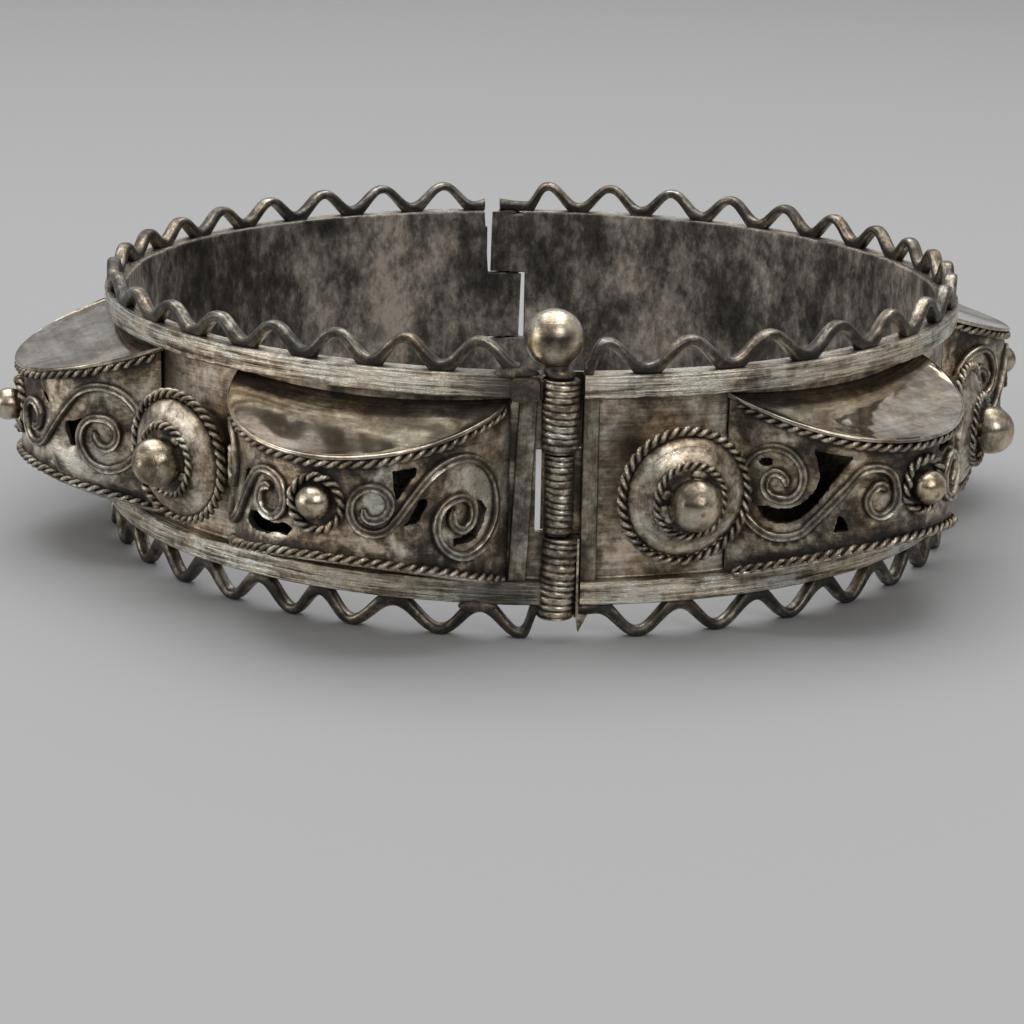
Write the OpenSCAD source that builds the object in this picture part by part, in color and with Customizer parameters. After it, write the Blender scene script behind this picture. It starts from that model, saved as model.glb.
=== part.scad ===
// Hinged bangle of two silver halves, each with three pierced boxes and three bosses.
// It lies flat: the wrist axis is +Z, the clasp faces -Y and the hinge is at +Y.
// Angles round the band are counted from the clasp, on either half, towards the hinge.

/* [Band] */
// Inner diameter of the band
inner_d = 60; // [56:0.5:66]
// Height of the band over both rims
band_h = 15.6; // [14.5:0.1:17]
// Thickness of the liner sheet
liner_t = 0.7; // [0.5:0.05:0.9]
// How far the rims stand out from the liner
rim_out = 1.0; // [0.7:0.05:1.2]
// Height of each rim
rim_h = 1.6; // [1.2:0.1:1.9]
// Width of the upright bar at each end of a half
end_bar_w = 1.1; // [0.8:0.1:1.4]

/* [Wavy galleries] */
// Height of a gallery above its rim
gallery_h = 2.4; // [1.8:0.1:3]
// Waves along one half; the wires that start at the clasp have one more
waves = 17; // [12:1:20]
// Thickness of the wavy wire seen from the side
wave_wire = 0.64; // [0.5:0.02:0.8]
// Depth of the wavy wire towards the wrist
wave_deep = 0.9; // [0.6:0.05:1.2]
// Solder that fills the corners beside the feet of the waves
solder_web = 0.35; // [0.2:0.01:0.8]

/* [Boxes] */
// Angles of the boxes on the left half
left_box_at = [24.6, 78.5, 134];
// Angles of the boxes on the right half
right_box_at = [40.2, 103, 155.4];
// Distance from the wrist axis to the outermost edge of the plates
box_reach = 38.46; // [37:0.1:40]
// Radius of the curved front edge of the plates of a box
box_r = 9.9; // [9:0.1:10.4]
// How far the face sheet lies back from the edge of the plates
face_in = 0.45; // [0.3:0.05:0.6]
// Half the height of a box where its face reaches the band
box_root_z = 6.0; // [5.6:0.05:6.1]
// Height of a box over its middle line, at its outermost line
box_tip_z = 3.25; // [3:0.05:4]
// Depth of a box under its middle line, at its outermost line
box_low_tip_z = 3.75; // [3:0.05:4]
// Thickness of the face sheet
face_t = 0.5; // [0.4:0.05:0.7]
// Thickness of the sloping plates
plate_t = 0.4; // [0.3:0.05:0.6]
// Radius of the grain in the middle of a face
grain_r = 1.18; // [0.9:0.02:1.4]

/* [Scroll wires] */
// Width of a scroll wire
scroll_w = 0.6; // [0.4:0.05:0.7]
// Height of a scroll wire over the face
scroll_h = 0.55; // [0.4:0.05:0.7]
// Centre of the large spiral along the face
large_s = 10.5; // [10.2:0.1:10.7]
// Centre of the large spiral above the middle line
large_z = -0.6; // [-0.8:0.05:-0.4]
// Centre of the small spiral along the face
small_s = 3.85; // [3.7:0.05:4]
// Centre of the small spiral above the middle line
small_z = 0; // [-0.2:0.05:0.2]

/* [Bosses] */
// Angles of the bosses on the left half
left_boss_at = [50, 106, 162];
// Angles of the bosses on the right half
right_boss_at = [13.7, 66.5, 129.2];
// Radius of the flared drum under a boss, at the outer ring
drum_r = 4.1; // [3.8:0.05:4.3]
// Radius of its foot on the liner
drum_foot_r = 2.9; // [2.7:0.05:3.2]
// Distance from the wrist axis to the plane of the outer ring
ring_reach = 33.2; // [32.8:0.05:33.6]
// Radius of the outer ring of twisted wire
ring_r = 4.42; // [4.2:0.02:4.6]
// Radius of the inner ring of twisted wire
inner_ring_r = 2.4; // [2.2:0.05:2.7]
// How far the inner ring stands out from the outer ring
inner_ring_rise = 1.15; // [0.9:0.05:1.6]
// Distance from the wrist axis to the centre of the ball
ball_reach = 35.15; // [34.8:0.05:36]
// Radius of the ball
ball_r = 1.72; // [1.5:0.02:1.9]

/* [Hinge and clasp] */
// Outer radius of the upper and lower knuckles
knuckle_r = 1.2; // [1.1:0.05:1.3]
// Outer radius of the middle knuckle
mid_knuckle_r = 1.05; // [1:0.05:1.15]
// Diameter of the pins
pin_d = 1.0; // [0.9:0.02:1.1]
// Radial clearance of the pins in the knuckles
pin_fit = 0.05; // [0.03:0.01:0.08]
// Gap between a knuckle and the edge of the other half
knuckle_gap = 0.3; // [0.2:0.05:0.5]
// Radius of the ball head of the clasp pin
head_r = 1.95; // [1.7:0.05:2.1]
// How far the ball head sits to the left of its pin
head_aside = 0.5; // [0:0.05:0.6]

/* [Hidden] */
round_fn = 96;
small_fn = 40;
seat = 0.03;                              // clearance of what is fixed to the liner
inner_r = inner_d / 2;
liner_r = inner_r + liner_t;              // outer face of the liner
rim_r = liner_r + rim_out;                // outer face of the rims
mid_z = band_h / 2 + gallery_h;           // height of the middle plane above the floor
rim_z = band_h / 2 - rim_h;               // inner edge of a rim above the middle plane
axis_r = inner_r + knuckle_r;             // hinge and clasp axes, the knuckles flush inside
knuckle_top = band_h / 2 - 0.25;
knuckle_low = -band_h / 2 - 0.8;
upper_split = 2.6;                        // where the upper and the middle knuckle part
lower_split = -3.0;                       // where the middle and the lower knuckle part
split_gap = 0.15;                         // play between two knuckles
wave_in = 0.25;                           // setback of a gallery from the outer face of its rim
box_c = box_reach - box_r;                // axis of a box face, from the wrist axis
face_r = box_r - face_in;                 // radius of the face sheet
face_reach = box_c + face_r;
slope_u = box_c + 0.84;                   // where the plates reach box_root_z
top_slope = (box_root_z - box_tip_z) / (box_reach - slope_u);
low_slope = (box_root_z - box_low_tip_z) / (box_reach - slope_u);
edge_wire = 0.55;                         // border wire along the upper and lower edge
ring_wire = 0.38;
collar_r = 1.75;
collar_wire = 0.32;
wire_gap = 0.05;                          // scroll wires over the face
silver = [0.72, 0.69, 0.64];
dark_silver = [0.45, 0.42, 0.38];
bright_silver = [0.85, 0.81, 0.72];

// Puts children whose +X points outwards at an angle from the clasp; side is -1 left, 1 right
module at_angle(side, angle) {
    rotate([0, 0, side * angle - 90]) translate([0, 0, mid_z]) children();
}

// A tube standing on the clasp axis between two heights over the middle plane
module knuckle(low, high, radius) {
    translate([0, -axis_r, mid_z + low]) cylinder(h = high - low, r = radius, $fn = small_fn);
}

// The liner and both rims as a whole ring
module band_ring() {
    translate([0, 0, mid_z]) rotate_extrude($fn = round_fn) polygon([
        [inner_r, -band_h / 2], [rim_r, -band_h / 2], [rim_r, -rim_z], [liner_r, -rim_z],
        [liner_r, rim_z], [rim_r, rim_z], [rim_r, band_h / 2], [inner_r, band_h / 2]]);
}

// Clears the band beside a knuckle of the other half, on the clasp side, between two heights
module knuckle_notch(low, high, radius) {
    reach = radius + knuckle_gap;
    translate([-reach, -rim_r - 1, mid_z + low]) cube([2 * reach, 6, high - low]);
}

// Upright bar between the rims, from a distance beside the clasp axis
module end_bar(from) {
    intersection() {
        translate([0, 0, mid_z - rim_z - 0.1]) difference() {
            cylinder(h = 2 * rim_z + 0.2, r = liner_r + 0.6, $fn = round_fn);
            translate([0, 0, -1]) cylinder(h = 2 * rim_z + 2.2, r = liner_r - 0.2, $fn = round_fn);
        }
        translate([-from - end_bar_w, -rim_r - 1, mid_z - rim_z - 0.1])
            cube([end_bar_w, 4, 2 * rim_z + 0.2]);
    }
}

// Half of the band, on the left: upper and lower knuckle at the clasp, middle one at the hinge
module half_band() {
    far = 2 * rim_r;
    bore = pin_d / 2 + pin_fit;
    bar_from = knuckle_r + knuckle_gap;
    head_seat_r = knuckle_r + 0.05;
    difference() {
        union() {
            difference() {
                band_ring();
                translate([0, -far, 0]) cube([far, 2 * far, 2 * mid_z]);
                knuckle_notch(lower_split, upper_split, mid_knuckle_r);
                rotate([0, 0, 180]) knuckle_notch(upper_split, band_h, knuckle_r);
                rotate([0, 0, 180]) knuckle_notch(-band_h, lower_split, knuckle_r);
            }
            knuckle(upper_split + split_gap / 2, knuckle_top, knuckle_r);
            knuckle(knuckle_low, lower_split - split_gap / 2, knuckle_r);
            rotate([0, 0, 180]) knuckle(lower_split + split_gap / 2, upper_split - split_gap / 2,
                mid_knuckle_r);
            end_bar(bar_from);
            mirror([0, 1, 0]) end_bar(bar_from);
        }
        for (y = [-axis_r, axis_r]) {
            translate([0, y, -1]) cylinder(h = 2 * mid_z + 2, r = bore, $fn = small_fn);
            translate([0, y, mid_z + knuckle_top]) cylinder(h = 1, r = head_seat_r, $fn = small_fn);
        }
    }
}

module left_band() {
    color(silver) half_band();
}

module right_band() {
    color(silver) rotate([0, 0, 180]) half_band();
}

// Centre line of a gallery wire above the rim: crests where turn is 180, troughs where it is 0
function wave_low() = wave_wire / 2;
function wave_mid() = (gallery_h - wave_wire / 2 + wave_low()) / 2;
function wave_amp() = (gallery_h - wave_wire / 2 - wave_low()) / 2;
function wave_z(turn) = wave_mid() - wave_amp() * cos(turn);
function wave_slope(turn, pitch) = wave_amp() * sin(turn) * 2 * PI / pitch;
function wave_half(turn, pitch) = wave_wire / 2 * sqrt(1 + pow(wave_slope(turn, pitch), 2));
function wave_web(turn) = solder_web * (1 + cos(turn)) / 2;

// Wavy wire on the left half, standing on the plane z = 0. Its crests lie between two angles from
// the clasp; drift moves those of the first quarter a few degrees along the rim, sag lowers those at
// the side, and the crest numbered odd[0] lies odd[1] degrees out of step. The outermost feet stay
// a number of degrees clear of the knuckles and come down steeply where that leaves little room
module gallery(first, last, crests, drift, sag, odd, clear) {
    per_wave = 10;
    pitch = (last - first) / (crests - 1);
    arc = PI / 180 * (rim_r - wave_deep / 2);
    first_half = min(pitch / 2, first - clear);
    last_half = min(pitch / 2, 180 - clear - last);
    in_r = rim_r - wave_in - wave_deep;
    out_r = rim_r - wave_in;
    turns = [for (i = [0:per_wave * crests]) i * 360 / per_wave];
    points = [for (turn = turns)
        let (half_wave = turn < 180 ? first_half : turn > 360 * crests - 180 ? last_half : pitch / 2,
            even = turn < 180 ? first + first_half * (turn - 180) / 180
                : turn > 360 * crests - 180 ? last + last_half * (turn + 180 - 360 * crests) / 180
                : first + pitch * (turn - 180) / 360,
            out_of_step = odd[1] * max(0, 1 - abs((turn - 180) / 360 - odd[0])),
            a = -90 - even - out_of_step - drift * pow(sin(min(180, 1.6 * even)), 2),
            lower = sag * pow(sin(even), 2) * wave_z(turn) / gallery_h,
            thick = wave_half(turn, 2 * half_wave * arc),
            top = min(gallery_h, wave_z(turn) + thick) - lower,
            low = max(0, wave_z(turn) - thick - wave_web(turn) - lower))
        each [[in_r * cos(a), in_r * sin(a), low], [out_r * cos(a), out_r * sin(a), low],
            [out_r * cos(a), out_r * sin(a), top], [in_r * cos(a), in_r * sin(a), top]]];
    last_ring = 4 * (len(turns) - 1);
    polyhedron(points, concat(
        [[0, 1, 2, 3]],
        [for (i = [0:len(turns) - 2]) for (k = [0:3])
            [4 * i + k, 4 * (i + 1) + k, 4 * (i + 1) + (k + 1) % 4, 4 * i + (k + 1) % 4]],
        [[for (k = [3:-1:0]) last_ring + k]]));
}

module left_gallery_top() {
    color(dark_silver) translate([0, 0, mid_z + band_h / 2]) gallery(10, 169.6, waves, -3.5, 0.85, [0, 0], 2.8);
}

module left_gallery_bottom() {
    color(dark_silver) translate([0, 0, mid_z - band_h / 2]) mirror([0, 0, 1])
        gallery(4.2, 174, waves + 1, 0, 0, [2, 1.7], 2.2);
}

module right_gallery_top() {
    color(dark_silver) translate([0, 0, mid_z + band_h / 2]) mirror([1, 0, 0])
        gallery(5.2, 174, waves + 1, 4.5, 0.4, [0, 0], 2.8);
}

module right_gallery_bottom() {
    color(dark_silver) translate([0, 0, mid_z - band_h / 2]) rotate([180, 0, 180])
        gallery(10, 169.6, waves, 3, 0, [0, 0], 2.8);
}

// The space between the sloping planes of a box, both moved in by an amount
module between_slopes(inset) {
    from_u = liner_r - 6;
    to_u = box_reach + 3;
    function edge_z(u, slope) = box_root_z - slope * (u - slope_u) - inset;
    rotate([90, 0, 0]) linear_extrude(4 * box_r, center = true) polygon([
        [from_u, -edge_z(from_u, low_slope)], [to_u, -edge_z(to_u, low_slope)],
        [to_u, edge_z(to_u, top_slope)], [from_u, edge_z(from_u, top_slope)]]);
}

module box_prism(radius) {
    translate([box_c, 0, -band_h]) cylinder(h = 2 * band_h, r = radius, $fn = round_fn);
}

// Border wires on the face under the edges of both plates, as plain bands
module edge_wires() {
    difference() {
        intersection() {
            box_prism(box_r - 0.05);
            between_slopes(plate_t / 2);
        }
        between_slopes(plate_t + edge_wire);
        box_prism(face_r - face_t / 2);
    }
}

// A sloping plate over each end of the face
module plates() {
    difference() {
        intersection() {
            box_prism(box_r);
            between_slopes(0);
        }
        between_slopes(plate_t);
    }
}

// Points of the pierced holes beside one scroll, along the face and above its middle
top_hole = [[5.15, 2.3], [6.9, 2.5], [6.85, 2.05], [6.0, 0.95], [5.55, 0.4], [5.35, 1.3]];
stem_hole = [[7.1, 0.45], [7.7, 0.3], [7.55, -0.3], [7.0, -1.15], [6.05, -1.3], [6.6, -0.6]];
spiral_hole = [[11.5, -0.35], [12.2, -0.3], [12.7, -0.9], [12.3, -1.8], [11.4, -2.6], [9.8, -2.75],
    [9.8, -2.35], [10.6, -2.25], [11.3, -1.75], [11.6, -1.1]];
low_hole = [[1.95, 1.95], [2.7, 1.7], [3.6, 1.9], [5.4, 1.55], [6.4, 1.6], [6.8, 2.3], [6.2, 2.7],
    [4.4, 2.7], [3.5, 2.45], [2.4, 2.5]];
wide_hole = [[8.6, -2.75], [5.9, -2.3], [6.4, -1.6], [7.5, -0.3], [8.6, 1.1], [9.6, 1.95], [11.1, 2.25],
    [12.2, 2.0], [12.6, 1.4], [11.4, 1.25], [10.2, 1.2], [9.0, 0.6], [8.3, -0.4], [8.2, -1.6]];
foot_hole = [[7.1, 2.65], [6.1, 2.6], [6.3, 1.9], [6.7, 1.55]];
torn_hole = [[7.2, 0.1], [8.0, 0.2], [8.6, 0.1], [8.15, -0.6], [8.1, -1.5], [7.6, -1.6], [7.1, -0.6]];
curl_hole = [[4.35, 2.1], [5.2, 1.6], [5.35, 0.9], [5.0, 1.3]];

// Cuts one hole square to the face; its outline is laid flat at its own place
module face_hole(outline) {
    if (len(outline) > 2) {
        low_s = min([for (p = outline) p[0]]);
        high_s = max([for (p = outline) p[0]]);
        mid_s = (low_s + high_s) / 2;
        turn = mid_s / box_r * 180 / PI;
        translate([box_c, 0, 0]) rotate([0, 0, turn]) translate([face_r - 1.3, 0, 0])
            rotate([90, 0, 90]) linear_extrude(2) polygon([for (p = outline) [p[0] - mid_s, p[1]]]);
    }
}

// A hollow box open towards the liner, with its border wires, grain and collar
module box(side, angle, holes_plus, holes_minus) {
    color(silver) at_angle(side, angle) difference() {
        union() {
            plates();
            difference() {
                intersection() {
                    box_prism(face_r);
                    between_slopes(plate_t / 2);
                }
                box_prism(face_r - face_t);
                for (hole = holes_plus) face_hole(hole);
                for (hole = holes_minus) rotate([180, 0, 0]) face_hole(hole);
            }
            edge_wires();
            translate([face_reach + 0.1, 0, 0]) rotate([0, 90, 0]) rotate_extrude($fn = small_fn)
                translate([collar_r, 0]) circle(r = collar_wire, $fn = 24);
            translate([face_reach + grain_r - 0.2, 0, 0]) sphere(r = grain_r, $fn = small_fn);
        }
        translate([0, 0, -band_h]) cylinder(h = 2 * band_h, r = liner_r + seat, $fn = round_fn);
    }
}

full_side = [top_hole, stem_hole, spiral_hole];
low_side = [low_hole, stem_hole];
wide_side = [wide_hole, foot_hole];
torn_side = [torn_hole, curl_hole];

module left_box_1() {
    box(-1, left_box_at[0], full_side, low_side);
}

module left_box_2() {
    box(-1, left_box_at[1], torn_side, full_side);
}

module left_box_3() {
    box(-1, left_box_at[2], low_side, wide_side);
}

module right_box_1() {
    box(1, right_box_at[0], low_side, wide_side);
}

module right_box_2() {
    box(1, right_box_at[1], full_side, torn_side);
}

module right_box_3() {
    box(1, right_box_at[2], wide_side, full_side);
}

// Course of one scroll wire along the face: large spiral, stem, small spiral, from inside to inside
large_radii = [[149, 0.75], [197, 0.82], [273, 0.95], [363, 0.95], [466, 1.2], [550, 2.0],
    [632, 2.75], [727, 3.2], [812, 3.65], [850, 3.75]];
small_radii = [[0, 1.95], [40, 1.75], [128, 1.38], [212, 1.42], [273, 1.2], [360, 0.75], [430, 0.55]];
function spiral_at(centre, radius, angle) =
    [centre[0] + radius * cos(angle), centre[1] + radius * sin(angle)];
function large_point(t) =
    let (angle = 149 + 701 * t) spiral_at([large_s, large_z], lookup(angle, large_radii), angle);
function small_point(t) = spiral_at([small_s, small_z], lookup(430 * t, small_radii), -38 - 430 * t);
function stem_point(a, b, ta, tb, t) =
    (2 * t * t * t - 3 * t * t + 1) * a + (t * t * t - 2 * t * t + t) * ta
    + (3 * t * t - 2 * t * t * t) * b + (t * t * t - t * t) * tb;
stem_from = large_point(1);
stem_to = small_point(0);
stem_lead = 3.2 * [cos(224), sin(224)];   // the wire leaves the large spiral downwards to the small one
stem_end = 3.2 * [cos(232), sin(232)];
large_steps = 32;
small_steps = 18;
stem_steps = 5;
scroll_line = concat(
    [for (i = [0:large_steps]) large_point(i / large_steps)],
    [for (i = [1:stem_steps - 1]) stem_point(stem_from, stem_to, stem_lead, stem_end, i / stem_steps)],
    [for (i = [0:small_steps]) small_point(i / small_steps)]);

// A point over the face: s along it at the plates' edge, z above its middle, out from the face
function over_face(s, z, out) =
    let (turn = s / box_r * 180 / PI)
    [box_c + (face_r + out) * cos(turn), (face_r + out) * sin(turn), z];

// One scroll wire of five sides, flat towards the face
module scroll() {
    last = len(scroll_line) - 1;
    section = [[-0.5, 0], [0.5, 0], [0.45, 0.65], [0, 1], [-0.45, 0.65]];
    sides = len(section);
    points = [for (i = [0:last])
        let (d = scroll_line[min(i + 1, last)] - scroll_line[max(i - 1, 0)],
            across = [-d[1], d[0]] / norm(d))
        for (q = section)
            over_face(scroll_line[i][0] + across[0] * q[0] * scroll_w,
                scroll_line[i][1] + across[1] * q[0] * scroll_w, wire_gap + q[1] * scroll_h)];
    polyhedron(points, concat(
        [[for (k = [0:sides - 1]) k]],
        [for (i = [0:last - 1]) for (k = [0:sides - 1])
            let (a = sides * i + k, b = sides * i + (k + 1) % sides)
            [a, a + sides, b + sides, b]],
        [[for (k = [sides - 1:-1:0]) sides * last + k]]));
}

// Both scroll wires of a box, one turned half round against the other
module scrolls(side, angle) {
    color(bright_silver) at_angle(side, angle) {
        scroll();
        rotate([180, 0, 0]) scroll();
    }
}

module left_scrolls_1() {
    scrolls(-1, left_box_at[0]);
}

module left_scrolls_2() {
    scrolls(-1, left_box_at[1]);
}

module left_scrolls_3() {
    scrolls(-1, left_box_at[2]);
}

module right_scrolls_1() {
    scrolls(1, right_box_at[0]);
}

module right_scrolls_2() {
    scrolls(1, right_box_at[1]);
}

module right_scrolls_3() {
    scrolls(1, right_box_at[2]);
}

// A hollow boss on the liner: drum, outer ring, cone, inner ring and ball
module boss(side, angle) {
    sheet = 0.45;
    ring_out = ring_reach - liner_r;
    inner_out = ring_out + inner_ring_rise;
    ball_out = ball_reach - liner_r;
    color(silver) at_angle(side, angle) difference() {
        translate([liner_r, 0, 0]) rotate([0, 90, 0]) union() {
            rotate_extrude($fn = round_fn) polygon([
                [drum_foot_r - sheet, -1], [drum_foot_r, -1], [drum_foot_r, 0.4], [drum_r, ring_out],
                [inner_ring_r, inner_out],
                [0, inner_out + 0.2], [0, inner_out - sheet], [inner_ring_r - 0.2, inner_out - sheet],
                [drum_r - sheet, ring_out - 0.2], [drum_foot_r - sheet, 0.5]]);
            rotate_extrude($fn = round_fn)
                translate([ring_r, ring_out]) circle(r = ring_wire, $fn = 24);
            rotate_extrude($fn = round_fn)
                translate([inner_ring_r, inner_out]) circle(r = collar_wire, $fn = 24);
            translate([0, 0, ball_out]) sphere(r = ball_r, $fn = small_fn);
        }
        translate([0, 0, -band_h]) cylinder(h = 2 * band_h, r = liner_r + seat, $fn = round_fn);
    }
}

module left_boss_1() {
    boss(-1, left_boss_at[0]);
}

module left_boss_2() {
    boss(-1, left_boss_at[1]);
}

module left_boss_3() {
    boss(-1, left_boss_at[2]);
}

module right_boss_1() {
    boss(1, right_boss_at[0]);
}

module right_boss_2() {
    boss(1, right_boss_at[1]);
}

module right_boss_3() {
    boss(1, right_boss_at[2]);
}

// Plain pin through the hinge knuckles, with a low rivet head at each end
module hinge_pin() {
    head_h = 0.35;
    low = mid_z + knuckle_low - head_h;
    high = mid_z + knuckle_top + head_h;
    color(dark_silver) translate([0, axis_r, 0]) {
        translate([0, 0, low]) cylinder(h = high - low, d = pin_d, $fn = small_fn);
        translate([0, 0, low]) cylinder(h = head_h - seat, r = 0.85, $fn = small_fn);
        translate([0, 0, high - head_h + seat]) cylinder(h = head_h - seat, r = 0.85, $fn = small_fn);
    }
}

// Pin that is drawn up to open the clasp: shank, neck collar and ball head
module clasp_pin() {
    neck_h = 0.9;
    top = mid_z + knuckle_top + seat;
    low = mid_z + knuckle_low + 0.2;
    color(bright_silver) translate([0, -axis_r, 0]) {
        translate([0, 0, low]) cylinder(h = top + 0.5 - low, d = pin_d, $fn = small_fn);
        translate([-head_aside / 2, 0, top]) cylinder(h = neck_h, r = 0.95, $fn = small_fn);
        translate([-head_aside, 0, top + neck_h + head_r - 0.25]) sphere(r = head_r, $fn = small_fn);
    }
}

left_band();
right_band();
left_gallery_top();
left_gallery_bottom();
right_gallery_top();
right_gallery_bottom();
left_box_1();
left_box_2();
left_box_3();
right_box_1();
right_box_2();
right_box_3();
left_scrolls_1();
left_scrolls_2();
left_scrolls_3();
right_scrolls_1();
right_scrolls_2();
right_scrolls_3();
left_boss_1();
left_boss_2();
left_boss_3();
right_boss_1();
right_boss_2();
right_boss_3();
hinge_pin();
clasp_pin();
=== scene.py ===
import math
import bpy
import numpy as np
from mathutils import Matrix


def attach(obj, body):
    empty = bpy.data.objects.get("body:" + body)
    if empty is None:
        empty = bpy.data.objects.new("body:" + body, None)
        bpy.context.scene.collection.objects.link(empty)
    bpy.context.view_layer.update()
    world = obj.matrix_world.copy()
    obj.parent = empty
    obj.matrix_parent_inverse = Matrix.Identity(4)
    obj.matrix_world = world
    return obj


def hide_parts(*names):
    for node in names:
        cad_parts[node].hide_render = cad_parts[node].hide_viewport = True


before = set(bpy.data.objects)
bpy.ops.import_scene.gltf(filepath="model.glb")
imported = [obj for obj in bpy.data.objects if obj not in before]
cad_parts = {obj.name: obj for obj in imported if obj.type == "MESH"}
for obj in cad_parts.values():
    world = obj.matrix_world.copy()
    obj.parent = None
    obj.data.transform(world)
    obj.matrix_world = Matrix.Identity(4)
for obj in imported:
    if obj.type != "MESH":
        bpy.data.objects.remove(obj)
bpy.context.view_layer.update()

scene = bpy.context.scene
print("frame loaded")

# All shapes are worked out in millimetres and scaled when they become meshes
toMetres = 0.001
tau = 2 * math.pi
band = dict(innerR=30.0, linerR=30.7, rimR=31.7, halfH=7.8, rimZ=6.2, midZ=10.2, axisR=31.2)
iR, lR, rR, hh, rz, midZ, aR = band.values()
upperSplit, lowerSplit, splitGap = 2.6, -3.0, 0.15      # heights at which the knuckles part


# Slow unevenness of hand work: a few sines of x with seeded phases
def waver(x, size, seed, waves=(1.0, 2.3, 4.1, 7.9, 13.0)):
    phase = np.random.default_rng(seed).uniform(0, tau, len(waves))
    total = sum(np.sin(w * x + p) / (1 + 0.6 * k) for k, (w, p) in enumerate(zip(waves, phase)))
    return size * total / 2


# The same over two directions
def waver2(x, y, size, seed):
    g = np.random.default_rng(seed)
    total = 0
    for k in range(6):
        a, b, p = g.uniform(-1, 1), g.uniform(-1, 1), g.uniform(0, tau)
        total = total + np.sin((k + 1) * (a * x + b * y) + p) / (k + 1)
    return size * total / 2


# Coordinates side by side along a last axis, each spread over the grid they share
def grid(*parts):
    return np.stack(np.broadcast_arrays(*parts), -1)


# Angles once round, without the last that would repeat the first
def circle(steps):
    return np.linspace(0, tau, steps, endpoint=False)


# Points from radius, angle and height
def polar(r, angle, z):
    return grid(r * np.cos(angle), r * np.sin(angle), z)


# Cosine and sine with their bows filled out towards a square
def squarish(angle, power):
    return [np.sign(w) * np.abs(w) ** power for w in (np.cos(angle), np.sin(angle))]


# Distance run along a line up to each of its points
def runAlong(line):
    return np.concatenate([[0], np.cumsum(np.linalg.norm(np.diff(line, axis=0), axis=1))])


# Volume inside a closed shell, as a sum over the fans of its faces; negative when it is inside out
def signedVolume(verts, faces):
    total = 0.0
    for f in faces:
        for k in range(1, f.shape[1] - 1):
            normal = np.cross(verts[f[:, k]], verts[f[:, k + 1]])
            total += np.einsum("ij,ij->i", verts[f[:, 0]], normal).sum()
    return total


# One part of a piece: points (u, v, 3) joined to a tube round v, with a cap at both ends unless it is
# closed along u; flow is the pattern's place, tarnish its darkness
def skin(points, closed=False, flow=0.0, tarnish=0.0):
    nu, nv = points.shape[:2]
    i, j = np.arange(nu if closed else nu - 1)[:, None], np.arange(nv)[None]
    i2, j2 = (i + 1) % nu, (j + 1) % nv
    faces = [grid(i * nv + j, i2 * nv + j, i2 * nv + j2, i * nv + j2).reshape(-1, 4)]
    if not closed:
        faces += [j, (nu - 1) * nv + j[:, ::-1]]
    verts = points.reshape(-1, 3)
    if signedVolume(verts, faces) < 0:
        faces = [f[:, ::-1] for f in faces]
    return dict(verts=verts, faces=faces, flow=np.broadcast_to(flow, (nu, nv, 2)).reshape(-1, 2),
        tarnish=np.broadcast_to(tarnish, (nu, nv)).reshape(-1))


# Places (out, along, up) on a half at an angle from the clasp; side is -1 left, 1 right
def atAngle(part, side, angle):
    a = math.radians(side * angle - 90)
    x, y, z = part["verts"].T
    turned = [x * math.cos(a) - y * math.sin(a), x * math.sin(a) + y * math.cos(a), z + midZ]
    return dict(part, verts=np.stack(turned, -1))


# A part with the signs of its coordinates changed, lifted by up; a mirrored one keeps its faces outward
def mirrored(part, signs, up=0.0):
    faces = [f[:, ::-1] for f in part["faces"]] if np.prod(signs) < 0 else part["faces"]
    return dict(part, verts=part["verts"] * signs + [0, 0, up], faces=faces)


upsideDown, halfTurn, otherHalf = [1, 1, -1], [1, -1, -1], [-1, -1, 1]


def inMetal(kind, *parts):
    return [dict(p, metal=kind) for p in parts]


sharpFrom = 38      # edges that turn by more degrees aren't smoothed


# Joins parts into one mesh object that rides on a body and stands for a CAD node; each part names its
# metal
def makePiece(name, parts, body, stands):
    verts = np.concatenate([p["verts"] for p in parts]) * toMetres
    starts = np.cumsum([0] + [len(p["verts"]) for p in parts])[:-1]
    faces = [f + s for p, s in zip(parts, starts) for f in p["faces"]]
    loops = np.concatenate([f.ravel() for f in faces])
    sizes = np.concatenate([np.full(len(f), f.shape[1]) for f in faces])
    loopStarts = np.concatenate([[0], np.cumsum(sizes)[:-1]])
    mesh = bpy.data.meshes.new(name)
    mesh.vertices.add(len(verts))
    mesh.vertices.foreach_set("co", verts.ravel())
    mesh.loops.add(len(loops))
    mesh.loops.foreach_set("vertex_index", loops.astype(np.int32))
    mesh.polygons.add(len(sizes))
    mesh.polygons.foreach_set("loop_start", loopStarts.astype(np.int32))
    mesh.update(calc_edges=True)
    mesh.validate()
    flow = np.concatenate([p["flow"] for p in parts])
    mesh.attributes.new("flow", "FLOAT_VECTOR", "POINT").data.foreach_set(
        "vector", np.c_[flow, np.zeros(len(flow))].ravel())
    mesh.attributes.new("tarnish", "FLOAT", "POINT").data.foreach_set(
        "value", np.concatenate([p["tarnish"] for p in parts]))
    mesh.polygons.foreach_set("use_smooth", np.ones(len(sizes), bool))
    mesh.set_sharp_from_angle(angle=math.radians(sharpFrom))
    piece = bpy.data.objects.new(name, mesh)
    scene.collection.objects.link(piece)
    kinds = [p["metal"] for p in parts]
    used = sorted(set(kinds))
    for kind in used:
        mesh.materials.append(metals[kind])
    counts = [sum(len(f) for f in p["faces"]) for p in parts]
    slots = np.repeat([used.index(k) for k in kinds], counts)
    mesh.polygons.foreach_set("material_index", slots.astype(np.int32))
    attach(piece, body)
    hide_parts(stands)
    return piece


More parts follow.
